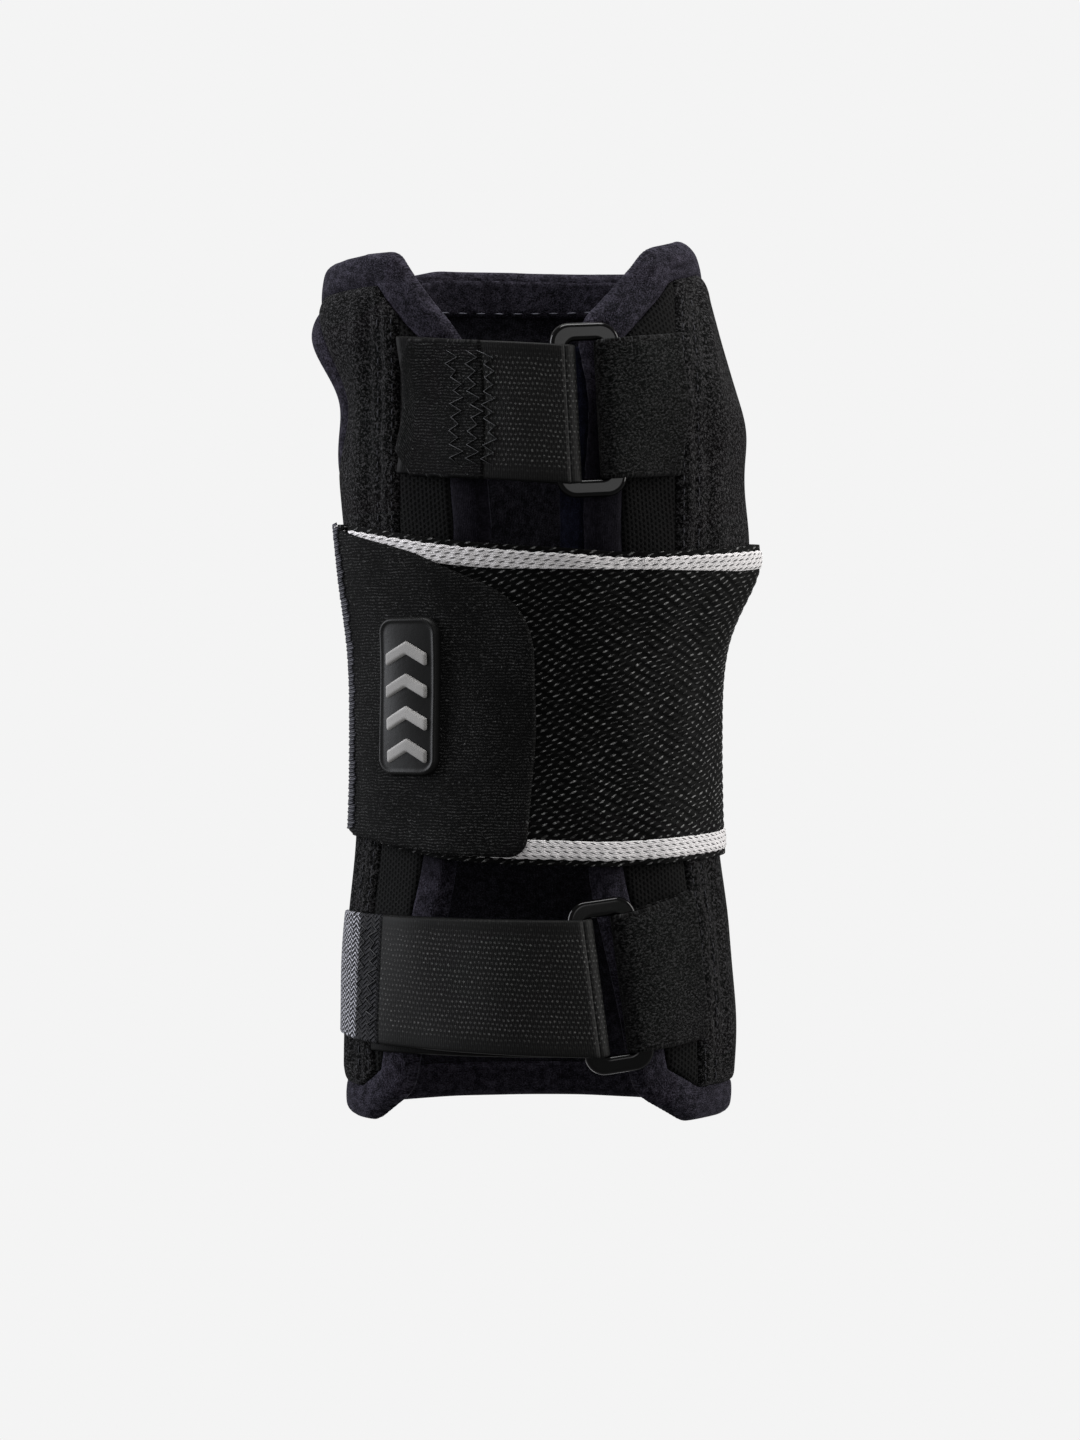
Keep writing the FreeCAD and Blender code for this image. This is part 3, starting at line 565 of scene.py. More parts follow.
def fine_hooks(name, dark, light):
    """Fine hook tape: broken, wandering rows of small hooks with scattered bright ones."""
    g = Graph(name, 0.65, 0.01)
    wander = (g.noise(0.3, 2.0) - 0.5) * 1.1
    line = g.ramp(g.wave(g.v + wander, 0.72), -0.3, 1.0)
    hook = g.ramp(g.noise(2.2, 2.0, 0.6), 0.42, 0.62)
    bright = g.ramp(g.noise(1.1, 3.0, 0.75), 0.6, 0.72)
    grain = g.noise(6.0, 2.0, 0.7)
    patchy = g.ramp(g.noise(0.09, 2.0), 0.35, 0.65, 0.45, 1.0)
    rows = line * hook * (patchy * 0.45)
    return g.finish(dark, light, (rows + bright * 0.62 + grain * 0.06).clamped(), rows + grain, 0.5, 0.0003)


def herringbone(name, dark, light, hem):
    """Coarse tape: slanting floats that turn back in columns, and a dark sewn hem up to a given length."""
    g = Graph(name, 0.55, 0.04)
    column_pitch = 1.5
    half = g.math("ABSOLUTE", g.cell(g.u, 2 * column_pitch))
    floats = g.wave(g.v + half * 0.8, 1.15)
    level = g.ramp(floats, -0.4, 0.9) * g.ramp(g.noise(3.2, 2.0, 0.6), 0.36, 0.66)
    level = level * g.ramp(g.u, hem - 0.5, hem + 0.5, 0.03, 1.0)
    return g.finish(dark, light, level, floats, 0.8, 0.0004)


def woven_elastic(name, dark, light):
    """Coarse elastic: dashes of float yarn in staggered rows that climb across a black ground."""
    g = Graph(name, 0.65)
    row_pitch, dash_pitch = 1.24, 2.75
    drift = (g.noise(0.10, 1.0) - 0.5) * 2.2
    climbing = g.v + drift - g.u * 0.24
    u = g.u + g.row(climbing, row_pitch) * (dash_pitch * 0.5)
    across, up = g.cell(u, dash_pitch), g.cell(climbing, row_pitch)
    dash = g.spot(across, up - across * 0.16, 0.78, 0.26, 0.7)
    bright = g.ramp(g.noise(1.1, 3.0, 0.7), 0.44, 0.68, 0.07, 1.0)
    fine = g.noise(4.0, 2.0)
    level = (dash * (bright * g.ramp(fine, 0.25, 0.6, 0.5, 1.0)) + fine * 0.012).clamped()
    return g.finish(dark, light, level, dash, 0.9, 0.0006)


def braid(name, dark, light):
    """Light knit stripe: chains of loops lying along the band."""
    g = Graph(name, 0.8)
    chain_pitch, loop_pitch = 1.08, 2.1
    u = g.u + g.row(g.w, chain_pitch) * (loop_pitch / 2)
    across, up = g.cell(u, loop_pitch), g.cell(g.w, chain_pitch)
    slanted = up + across * 0.3
    gap = g.spot(across, slanted, 0.66, 0.16, 0.7)
    line = g.ramp(g.wave(slanted, 0.45), -1.0, 1.0)
    yarn = line * 0.25 + g.ramp(g.noise(4.0, 2.0), 0.25, 0.7, 0.55, 0.85)
    level = ((1.0 - gap * 0.95) * yarn).clamped()
    return g.finish(dark, light, level, level, 0.8, 0.0004)


def plain(name, colour, roughness, specular, grain=0.15):
    """Thread, rubber or moulded surface with a faint grain."""
    g = Graph(name, roughness, specular)
    fine = g.noise(900.0, 3.0, vector=g.object_place())
    wear = g.ramp(g.noise(60.0, 2.0, vector=g.object_place()), 0.35, 0.75)
    return g.finish(colour, tuple(c * 1.5 for c in colour), wear, fine, grain, 0.0002)


def grey(level):
    return level, level, level


M_JERSEY = jersey("binding_jersey", (0.0005, 0.0004, 0.0008), (0.0160, 0.0147, 0.0200))
# Painted shade: the edge bindings are darkened between heights 64 and 162, along the front opening.
M_EDGE_SHADED = jersey("edge_jersey_painted_shade", (0.0005, 0.0004, 0.0008), (0.0160, 0.0147, 0.0200), (64, 162))
M_SHELL = jersey("shell_jersey", (0.0005, 0.0005, 0.0008), (0.0105, 0.0100, 0.0130))
M_LINING = jersey("lining", (0.0008, 0.0009, 0.0022), (0.0055, 0.006, 0.0115))
M_PILE = pile("brushed_loop", grey(0.0002), (0.0170, 0.0166, 0.0172))
M_TAB_PILE = pile("anchor_loop", grey(0.0002), (0.0120, 0.0120, 0.0122))
M_MESH = spacer_mesh("spacer_mesh", grey(0.0002), grey(0.0042))
M_DOTS = hook_dots("hook_tape_dots", grey(0.0004), (0.034, 0.034, 0.033))
M_UNDER = hook_dots("strap_underside", grey(0.0002), grey(0.010))
M_HOOKS = fine_hooks("fine_hook_tape", grey(0.0003), grey(0.027))
M_ELASTIC = woven_elastic("woven_elastic", grey(0.0001), (0.090, 0.090, 0.089))
M_BRAID = braid("light_braid", (0.015, 0.0145, 0.015), (0.265, 0.257, 0.258))
M_THREAD = plain("thread", (0.0075, 0.0075, 0.009), 0.6, 0.05)
M_ZIGZAG = plain("zigzag_thread", (0.0045, 0.0045, 0.005), 0.5, 0.1)
M_OVERLOCK = plain("overlock_thread", (0.015, 0.015, 0.018), 0.5, 0.05)
M_LIGHT_THREAD = plain("light_thread", (0.026, 0.026, 0.032), 0.6, 0.05)
M_RING = plain("ring_plastic", grey(0.0005), 0.14, 0.05, 0.02)
M_BADGE = plain("badge_rubber", grey(0.0012), 0.45, 0.05)
M_MARK = plain("badge_mark", (0.085, 0.083, 0.081), 0.6, 0.03)


def finish_piece(piece, body, slot, *nodes, fill=None):
    if nodes:
        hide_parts(*nodes)
    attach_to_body(piece, body)


# ---- shell
SEAM_LEFT_BACK = -SEAM_RUN
SEAM_RIGHT_BACK = -GIRTH + SEAM_RUN
WHOLE_HEIGHT = (-2, GUARD_HEIGHT + 4)


def within(outline):
    """Field of the distance inside an outline."""
    return lambda r, h: inside(r, h, outline)


shell_distance = within(SHELL_OUTLINE)


def least(*distances):
    """Distance inside the overlap of several areas."""
    return np.minimum.reduce(distances)


def flat(rise):
    """Face that keeps one rise."""
    return lambda r, h, d: rise + 0 * r


def panel_groove(run, height, depth):
    """Small dip where the back panels are joined."""
    return -0.5 * sum(bell(run - seam, 0.8) for seam in (SEAM_LEFT_BACK, SEAM_RIGHT_BACK))


shell_piece = patch(
    "shell", M_SHELL, lambda r, h: least(shell_distance(r, h) - 2.0, from_thumb_hole(r, h) - 0.8),
    (-GIRTH - 2, 2), WHOLE_HEIGHT, 1.3, panel_groove, flat(-SHELL_THICKNESS))
finish_piece(shell_piece, "guard", "shell", "thumb_side_panel", "left_front_panel",
             "little_finger_side_panel", "right_front_panel", "palm_panel", fill=0.8)


# ---- bindings
def roll(depth, radius):
    """Quarter round of a folded edge: 0 at the edge, 1 from radius inwards."""
    return np.sqrt(1 - (1 - np.clip(depth / radius, 0, 1)) ** 2)


TAPE_MIDDLE, TAPE_ROLL = -1.5, 2.4


def into_tape(run, height):
    """Distance from the guard's edge into the binding."""
    return np.maximum(shell_distance(run, height), 0)


def binding_top(run, height, depth):
    edge = into_tape(run, height)
    crown = 0.45 * np.sin(np.pi * np.clip(edge / TAPE_WIDTH, 0, 1))
    tuck = -0.75 * bell(TAPE_WIDTH - edge, 0.7)
    return TAPE_MIDDLE + TAPE_ROLL * roll(edge, TAPE_ROLL) + crown + tuck


def binding_bottom(run, height, depth):
    edge = into_tape(run, height)
    return TAPE_MIDDLE - TAPE_ROLL * roll(edge, TAPE_ROLL) + 0.5 * bell(TAPE_WIDTH - edge, 0.7)


def binding(name, limit, run_span, height_span, node, material):
    def field(run, height):
        edge = shell_distance(run, height)
        return least(edge, TAPE_WIDTH - edge, limit(run, height))
    piece = patch(name, material, field, run_span, height_span, 0.55, binding_top, binding_bottom,
                  cloth=lambda r, h, d: np.stack([r, h, into_tape(r, h)], 1))
    finish_piece(piece, "guard", "jersey", node, fill=0.6)


MIDDLE_HEIGHT = GUARD_HEIGHT / 2
PALM_RUN = (SEAM_RIGHT_BACK - 1, SEAM_LEFT_BACK + 1)
binding("left_binding", lambda r, h: least(r - SEAM_LEFT_BACK, from_thumb_hole(r, h) - 5.2),
        (SEAM_LEFT_BACK - 1, 2), WHOLE_HEIGHT, "left_edge_binding", M_EDGE_SHADED)
binding("right_binding", lambda r, h: SEAM_RIGHT_BACK - r,
        (-GIRTH - 2, SEAM_RIGHT_BACK + 1), WHOLE_HEIGHT, "right_edge_binding", M_EDGE_SHADED)
binding("palm_top_tape", lambda r, h: least(SEAM_LEFT_BACK - r, r - SEAM_RIGHT_BACK, h - MIDDLE_HEIGHT),
        PALM_RUN, (190, GUARD_HEIGHT + 4), "palm_top_binding", M_JERSEY)
binding("palm_bottom_tape", lambda r, h: least(SEAM_LEFT_BACK - r, r - SEAM_RIGHT_BACK, MIDDLE_HEIGHT - h),
        PALM_RUN, (-2, 12), "palm_bottom_binding", M_JERSEY)

INNER_HEM = 11.6
inner_hem = patch(
    "palm_inner_hem", M_JERSEY,
    lambda r, h: least(shell_distance(r, h) - 2.0, INNER_HEM - shell_distance(r, h),
                       from_thumb_hole(r, h) - 3.0, 50 - np.abs(r - BACK_RUN)),
    (BACK_RUN - 52, BACK_RUN + 52), (186, GUARD_HEIGHT + 4), 0.7,
    flat(-2.6), lambda r, h, d: -3.3 - 0.9 * roll(d, 1.2))
finish_piece(inner_hem, "guard", "jersey", fill=0.4)


def thumb_bulge(run, height):
    """The rolled binding stands proud at the top of the hole, where the cloth is stretched round it."""
    return 2.2 * bell(height - 184, 9.0) * bell(run + SIDE_RUN + 2, 9.0)


def thumb_roll_top(run, height, depth):
    away = from_thumb_hole(run, height)
    return (TAPE_MIDDLE + (3.3 + thumb_bulge(run, height)) * roll(away + THUMB_OVERHANG, 3.0)
            - 1.4 * np.clip((away - 2.5) / 3.0, 0, 1) ** 2)


THUMB_TAPE_REACH, THUMB_OVERHANG = 5.5, 0.8
thumb_piece = patch(
    "thumb_hole_roll", M_JERSEY,
    lambda r, h: least(from_thumb_hole(r, h) + THUMB_OVERHANG, THUMB_TAPE_REACH - from_thumb_hole(r, h)),
    (THUMB_RUN - 22, THUMB_RUN + 22), (THUMB_HEIGHT - 26, THUMB_HEIGHT + 26), 0.55, thumb_roll_top,
    lambda r, h, d: TAPE_MIDDLE - TAPE_ROLL * roll(from_thumb_hole(r, h) + THUMB_OVERHANG, TAPE_ROLL))
finish_piece(thumb_piece, "guard", "jersey", "thumb_hole_binding", fill=0.7)


# ---- mesh panels and pockets
def cushion(base, crown, soft):
    """Top face that starts at base at its seams and swells by crown over a soft width."""
    return lambda r, h, d: base + crown * roll(d, soft)


UNDER_TAPE = TAPE_WIDTH - 0.4
ON_SHELL = flat(0.02)
# name, seam, run offset, side, the mesh's run span, height span, flat size and flat area in metres
FRONT_SIDES = [
    ("left", LEFT_SEAM, 0.0, -1, (-50, -8), (6, 200), (0.020, 0.190), 0.0022),
    ("right", RIGHT_SEAM, -GIRTH, 1, (-GIRTH + 8, -GIRTH + 50), (2, 206), (0.022, 0.195), 0.0029),
]


def past_seam(run, height, seam, offset, side):
    """Distance from a seam towards the sleeve's side."""
    return (run - seam_run(seam, height, offset)) * side


for name, seam, offset, side, run_span, height_span, flat_size, area in FRONT_SIDES:
    mesh_piece = patch(
        f"{name}_mesh", M_MESH,
        lambda r, h: least(shell_distance(r, h) - UNDER_TAPE, 0.5 - past_seam(r, h, seam, offset, side)),
        run_span, height_span, 0.7, cushion(0.15, 0.75, 2.0), ON_SHELL)
    finish_piece(mesh_piece, "guard", "mesh", f"{name}_front_mesh")


def pocket_top(seam, offset, side):
    """Brushed pocket: a raised hem along its inner seam, then the swell over the stay."""
    def top(run, height, depth):
        hem = past_seam(run, height, seam, offset, side)
        ridge = 0.35 * bell(hem - 2.4, 0.9) - 0.45 * bell(hem - 4.4, 0.6)
        puff = 1.1 * roll(depth, 3.0)
        fold = 0.7 * bell(hem - 11, 2.6) - 0.5 * bell(hem - 7.4, 1.1)
        fold = fold * np.clip(depth / 4.0, 0, 1)
        pucker = 0.16 * np.sin(height / 2.1 + run / 3.0) * bell(hem - 4.4, 2.2)
        return 0.75 + puff + ridge + fold + pucker
    return top


for name, seam, offset, side, _, height_span, _, _ in FRONT_SIDES:
    rear = run_at_depth(-2.0, side, 100) + offset
    pocket_piece = patch(
        f"{name}_pocket", M_PILE,
        lambda r, h: least(shell_distance(r, h) - UNDER_TAPE, past_seam(r, h, seam, offset, side),
                           (rear - r) * side, from_thumb_hole(r, h) - THUMB_TAPE_REACH),
        sorted((offset + 25 * side, rear + side)), height_span, 0.6, pocket_top(seam, offset, side), ON_SHELL)
    finish_piece(pocket_piece, "guard", "loop", f"{name}_stay_pocket", f"{name}_stay", fill=0.5)

PALM_POCKET = rounded([(BACK_RUN - 14, 9, 5), (BACK_RUN + 14, 9, 5),
                       (BACK_RUN + 14, 198, 5), (BACK_RUN - 14, 198, 5)])
palm_pocket = patch(
    "palm_pocket", M_PILE, within(PALM_POCKET),
    (BACK_RUN - 16, BACK_RUN + 16), (7, 200), 0.8, cushion(0.4, 1.6, 3.5), ON_SHELL)
finish_piece(palm_pocket, "guard", "loop", "palm_splint_pocket", "palm_splint", fill=0.4)

LINING_OUTLINE = rounded(front([(3.9, 122, 2), (16, 122, 2), (16, 184, 2), (4.5, 181, 6)]))
lining = patch("right_lining", M_LINING, within(LINING_OUTLINE), (0, 20), (120, 186), 0.7,
               flat(-4.1), flat(-4.9))
finish_piece(lining, "guard", "lining", "right_lining_edge")

# ---- rings and straps
RINGS = {
    "upper": {"place": (11.8, -32.35, 167.0), "yaw": 8.1, "tilt": -3.0, "lean": -0.5},
    "lower": {"place": (17.0, -31.86, 33.5), "yaw": 13.7, "tilt": -7.0, "lean": -3.3},
}
RING_HALF_WIDTH, RING_BAR = 8.25, 4.2
FOLD_RADIUS = 2.45
FOLD_SLIDE = {"upper": -0.9, "lower": 0.0}
FOLD_REACH = RING_HALF_WIDTH - RING_BAR / 2 - 0.9
STRAP_WIDTH, STRAP_THICKNESS = 31.0, 1.1
COLUMNS = 25


def ring_seat(side):
    """Matrix from the ring's own frame to the part's frame, in millimetres."""
    ring = RINGS[side]
    x, y, z = ring["place"]
    turn = (Matrix.Rotation(math.radians(ring["yaw"]), 4, "Z")
            @ Matrix.Rotation(math.radians(ring["tilt"]), 4, "Y")
            @ Matrix.Rotation(math.radians(ring["lean"]), 4, "X"))
    return np.array(Matrix.Translation((x + ORIGIN_X, y + ORIGIN_Y, z)) @ turn)


def seat_point(seat, local):
    return (seat @ np.array([*local, 1.0]))[:3]


def on_skin(point):
    """(run, height, rise) of a point near the front of the sleeve."""
    x, y, height = point[0] - ORIGIN_X, point[1] - ORIGIN_Y, point[2]
    rise = 2.0
    for _ in range(40):
        across = np.clip((x - column(height, 3)) / (column(height, 1) + rise), -0.999, 0.999)
        rise += (-y / math.sqrt(1 - across**2)) - (column(height, 2) + rise)
    run = run_of_turn(math.asin(across))
    return run, height, rise - float(waves(run, height))


def leg(ends, far_low, far_high, far_rise, rows, cut=None):
    """Grid of a strap leg from the fold's end out to a far edge, given by two (run, height) corners."""
    grid = np.zeros((rows + 1, COLUMNS, 3))
    for j in range(COLUMNS):
        v = j / (COLUMNS - 1)
        run0, height0, rise0 = on_skin(ends[0] * (1 - v) + ends[1] * v)
        for i in range(rows + 1):
            t = i / rows
            narrow = cut(t) if cut else 0.0
            far_run = far_low[0] + (far_high[0] - far_low[0]) * v
            height1 = far_low[1] + (far_high[1] - far_low[1]) * v
            height = height0 + (height1 - height0) * t
            height += narrow * (1 - v) - narrow * v
            ease = t * t * (3 - 2 * t)
            grid[i, j] = skin(run0 + (far_run - run0) * t, height, rise0 + (far_rise - rise0) * ease)
    return grid


def fold_rows(seat, facing, slide, rows=14):
    """Half turn round a ring bar, from its inner end to its outer end."""
    grid = np.zeros((rows + 1, COLUMNS, 3))
    for i in range(rows + 1):
        angle = math.pi / 2 - math.pi * i / rows
        for j in range(COLUMNS):
            local = (-facing * FOLD_REACH + facing * FOLD_RADIUS * math.cos(angle),
                     FOLD_RADIUS * math.sin(angle), (j / (COLUMNS - 1) - 0.5) * STRAP_WIDTH + slide)
            grid[i, j] = seat_point(seat, local)
    return grid


def loop_ribbon(side, facing, inner_leg, outer_leg):
    """Whole strap or tab: inner leg, half turn round the bar, outer leg."""
    seat = ring_seat(side)
    turn = fold_rows(seat, facing, FOLD_SLIDE[side] if facing > 0 else 0.0)
    inner = leg((turn[0, 0], turn[0, -1]), *inner_leg)[::-1]
    outer = leg((turn[-1, 0], turn[-1, -1]), *outer_leg)
    grid = np.concatenate([inner[:-1], turn, outer[1:]])
    marks = (0, len(inner) - 1, len(inner) - 1 + len(turn) - 1, len(grid) - 1)
    ribbon = Ribbon(grid)
    if facing > 0:
        ribbon.normal = -ribbon.normal
    return ribbon, marks


# Distances of the zig-zag rows from each tab's join.
ZIGZAGS = {"upper": (-5.0, -1.2, 3.4), "lower": (-2.5, 2.0)}
ZIGZAG_WIDTH, ZIGZAG_PITCH = 3.2, 1.5
ZIGZAG_FROM, ZIGZAG_TO = 0.08, 0.94
HEM_WIDTH = 3.4


def zigzag(ribbon, length, lift):
    """Zig-zag thread across a strap."""
    count = int((ZIGZAG_TO - ZIGZAG_FROM) * STRAP_WIDTH / ZIGZAG_PITCH)
    path = []
    for k in range(count + 1):
        place = ZIGZAG_FROM + (ZIGZAG_TO - ZIGZAG_FROM) * k / count
        offset = (ZIGZAG_WIDTH / 2) * (1 if k % 2 else -1) * (0.8 + 0.2 * math.sin(k * 1.9 + length))
        wander = 0.5 * math.sin(k * 0.7 + length) + 0.3 * math.sin(k * 2.3)
        path.append(ribbon.at(length + offset + wander, place, lift))
    return np.array(path)


def far_edge(low, high):
    """Two front-view (x, height) corners as (run, height)."""
    return tuple((float(run_at(x, height)), height) for x, height in (low, high))


STRAPS = {
    "upper": {"leg": (*far_edge((-31.7, 153.5), (-31.7, 184.5)), 1.65, 36),
              "tip": (*far_edge((-31.4, 153.0), (-31.6, 183.8)), 2.6, 44),
              "tab": 18.0, "chamfer": (3.4, 5.4)},
    "lower": {"leg": (*far_edge((-37.2, 17.5), (-37.2, 48.6)), 1.65, 44),
              "tip": ((-SIDE_RUN - 4.0, 20.5), (-SIDE_RUN - 4.0, 48.5), 2.2, 64),
              "tab": 24.3, "chamfer": (7.0, 3.0)},
}
RING_TABS = {
    "upper": far_edge((31.6, 153.0), (31.2, 185.6)),
    "lower": far_edge((37.7, 20.6), (34.2, 54.2)),
}


def build_strap(side):
    """Sewn leg, turn round the ring's bar, returning leg and hook tab, with the tab's zig-zags."""
    spec = STRAPS[side]
    inner_end, outer_end = (seat_point(ring_seat(side), (-FOLD_REACH, radius, 0))
                            for radius in (FOLD_RADIUS, -FOLD_RADIUS))
    span = abs(spec["tip"][0][0] - on_skin(outer_end)[0])
    chamfer_run, chamfer_height = spec["chamfer"]

    def tip_cut(t):
        return chamfer_height * max(0.0, 1 - (1 - t) * span / chamfer_run)

    ribbon, marks = loop_ribbon(side, 1, spec["leg"], (*spec["tip"], tip_cut))
    tab_row = int(np.searchsorted(ribbon.length, ribbon.length[-1] - spec["tab"]))
    leg_piece = ribbon_piece(f"{side}_strap_under", ribbon, M_UNDER, STRAP_THICKNESS, (0, marks[1]))
    finish_piece(leg_piece, f"{side}_strap", "webbing", f"{side}_strap_leg")
    turn_piece = ribbon_piece(f"{side}_strap_turn", ribbon, M_DOTS, STRAP_THICKNESS, (marks[1], marks[2]))
    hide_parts(f"{side}_strap_fold")
    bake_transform(turn_piece)
    over_piece = ribbon_piece(f"{side}_strap_over", ribbon, M_DOTS, STRAP_THICKNESS, (marks[2], tab_row))
    finish_piece(over_piece, f"{side}_strap_end", "webbing", f"{side}_strap_return")
    join = ribbon.length[tab_row]
    if side == "upper":
        tab_material = M_HOOKS
    else:
        tab_material = herringbone("herringbone_tape", (0.002, 0.002, 0.0026), (0.25, 0.25, 0.275),
                                   join + HEM_WIDTH)
    tab_piece = ribbon_piece(f"{side}_tab", ribbon, tab_material, STRAP_THICKNESS * 1.15,
                             (tab_row - 4, marks[3]))
    finish_piece(tab_piece, f"{side}_strap_end", "hook_tape", f"{side}_hook_tab")
    lines = [zigzag(ribbon, join + shift, STRAP_THICKNESS * 0.62 + 0.1) for shift in ZIGZAGS[side]]
    threads(f"{side}_zigzag", lines, 0.2, M_ZIGZAG, f"{side}_strap_end")


def build_ring_tab(side):
    """Loop-faced tab folded round the ring's anchored bar."""
    ribbon, marks = loop_ribbon(side, -1, (*RING_TABS[side], 1.6, 26), (*RING_TABS[side], 3.0, 26))
    piece = ribbon_piece(f"{side}_anchor_tab", ribbon, M_TAB_PILE, 1.3, (0, marks[3]))
    finish_piece(piece, "guard", "loop", *[f"{side}_ring_tab_{part}" for part in ("under", "fold", "over")])


for build in (build_strap, build_ring_tab):
    for side in RINGS:
        build(side)

# ---- wrist band
# run, height of the upper edge, height of the lower edge
BAND_EDGES = np.array([
    (-70, 142.5, 67.6), (-48, 141.6, 66.9), (-34, 139.2, 64.5), (-23, 137.4, 62.7), (-9, 136.0, 61.7),
    (5, 135.0, 61.3), (15, 134.3, 60.9), (36, 135.3, 61.7), (60, 137.4, 62.9), (GIRTH / 2, 140.0, 64.6),
    (GIRTH - 90, 142.0, 67.1), (GIRTH - 70, 142.5, 67.6), (GIRTH - 48, 141.6, 66.9),
])
BAND_START = float(run_at(-38.5, 100))
BAND_SPLIT = GIRTH + run_at_depth(19.0, -1, 100)
BAND_END = GIRTH + run_at_depth(-9.0, -1, 100)
BAND_HEIGHTS = {"whole": (58, 146), "top": (130, 146), "bottom": (58, 76)}
BAND_IN, BAND_OUT = 2.0, 3.0
STRIPE_INSET, STRIPE_WIDTH = 1.5, 4.3
LOOP_LENGTH = 2.9


def from_edge(run, height, label):
    """Distance inwards from the band's top or bottom edge."""
    if label == "top":
        return smooth_curve(BAND_EDGES, 1, run) - height
    return height - smooth_curve(BAND_EDGES, 2, run)


def band_cloth(run, height, depth):
    return np.stack([run, height, from_edge(run, height, "top")], 1)


def band_field(low, high):
    return lambda r, h: least(from_edge(r, h, "top"), from_edge(r, h, "bottom"), r - low, high - r)


def flare(run, height):
    """The band's upper edge stands off the sleeve at the little-finger side."""
    return 1.4 * np.exp(-((run - SIDE_RUN) / 11.0) ** 2 - ((height - 132) / 9.0) ** 2)


def ribbed(run, height, depth):
    """Weave relief that also roughens the band's outline at the sides."""
    weave = 0.16 * np.sin(height * 2 * math.pi / 2.32 + run * 1.1)
    return BAND_OUT + flare(run, height) + weave * np.clip(depth / 1.5, 0, 1)


def stripe_field(low, high, label):
    """Light stripe with a scalloped outer edge."""
    def field(run, height):
        into = from_edge(run, height, label) - STRIPE_INSET
        scallop = 0.28 * np.abs(np.sin(math.pi * run / LOOP_LENGTH))
        return least(STRIPE_WIDTH - into, into + scallop, run - low, high - run)
    return field


def stripe_cloth(label):
    return lambda r, h, d: np.stack([r, h, from_edge(r, h, label) - STRIPE_INSET], 1)


def stripe_top(run, height, depth):
    loops = 0.08 * np.sin(2 * math.pi * run / LOOP_LENGTH)
    return BAND_OUT + flare(run, height) + 0.1 + 0.3 * np.clip(depth / 0.5, 0, 1) + loops


def build_band(name, low, high, node, attach):
    """One length of the elastic band, with its two light stripes."""
    run_span = (low - 1, high + 1)
    piece = patch(name, M_ELASTIC, band_field(low, high), run_span, BAND_HEIGHTS["whole"], 0.6, ribbed,
                  flat(BAND_IN), cloth=band_cloth)
    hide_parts(node)
    attach(piece)
    for label in ("top", "bottom"):
        stripe = patch(f"{name}_{label}_stripe", M_BRAID, stripe_field(low + 0.02, high - 0.02, label),
                       run_span, BAND_HEIGHTS[label], 0.45, stripe_top, flat(BAND_OUT - 0.3),
                       cloth=stripe_cloth(label))
        attach(stripe)


def ride_guard(piece):
    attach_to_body(piece, "guard")


def bend_to_end(piece):
    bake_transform(piece)


build_band("band", BAND_START, BAND_SPLIT, "wrist_band", ride_guard)
build_band("band_loose_end", BAND_SPLIT, BAND_END, "wrist_band_end", bend_to_end)

# ---- big hook tab and badge
TAB_IN, TAB_OUT = 3.3, 4.4
TAB_LEFT = run_at_depth(-4.0, -1, 100)
HOOK_TAB = rounded([(TAB_LEFT, 68.2, 2)]
                   + front([(-32, 65.4, 30), (-20, 63.5, 30), (-2.4, 63.1, 4.5), (0, 92, 60),
                            (-0.3, 121.6, 20), (-18, 129.9, 25), (-27, 134.4, 30)])
                   + [(TAB_LEFT, 141.8, 1)])
hook_tab = patch(
    "hook_tab", M_HOOKS, within(HOOK_TAB), (TAB_LEFT - 1, 6), (60, 145), 0.6,
    lambda r, h, d: TAB_OUT - 0.5 * (1 - roll(d, 0.9)) + 0.1 * np.sin(h / 9.0 + r / 13.0),
    flat(TAB_IN))
finish_piece(hook_tab, "wrist_tab", "hook_tape", "wrist_hook_tab")

BADGE_OUTLINE = rounded(front([(-33.2, 81.9, 4), (-20.4, 81.9, 4),
                               (-20.4, 119.3, 4), (-33.2, 119.3, 4)]))
BADGE_THICKNESS = 1.2
BADGE_TOP = TAB_OUT + BADGE_THICKNESS


def badge_top(run, height, depth):
    rim = 0.35 * bell(depth - 0.9, 0.4)
    return TAB_OUT + BADGE_THICKNESS * roll(depth, 0.8) + rim


badge = patch("badge", M_BADGE, within(BADGE_OUTLINE), (-42, -16), (80, 121), 0.3,
              badge_top, flat(TAB_OUT - 0.2))
finish_piece(badge, "wrist_tab", "badge", "badge_plate")

BAR_COUNT, BAR_PITCH, BAR_HEIGHT, BAR_RISE, BAR_HALF_WIDTH = 4, 7.6, 3.2, 3.0, 4.2
BADGE_X, BADGE_HEIGHT = -26.8, 99.1


def chevron(index):
    """Outline of one plain raised bar with its middle higher than its ends."""
    base = BADGE_HEIGHT + (index - (BAR_COUNT - 1) / 2) * BAR_PITCH - BAR_HEIGHT / 2
    edge = [(way * BAR_HALF_WIDTH, base + (0.5 - abs(way)) * BAR_RISE) for way in (-1, 0, 1)]
    return rounded(front([(BADGE_X + x, h, 0.5) for x, h in edge]
                         + [(BADGE_X + x, h + BAR_HEIGHT, 0.5) for x, h in edge[::-1]]))


def any_chevron(run, height):
    return np.max([inside(run, height, chevron(k)) for k in range(BAR_COUNT)], axis=0)


marks_piece = patch("badge_chevrons", M_MARK, any_chevron, (-38, -18), (84, 115), 0.3,
                    lambda r, h, d: BADGE_TOP + 0.55 * roll(d, 0.6), flat(BADGE_TOP - 0.2))
finish_piece(marks_piece, "wrist_tab", "badge_mark", "badge_bars")

# ---- stitching
THREAD_RADIUS = 0.16

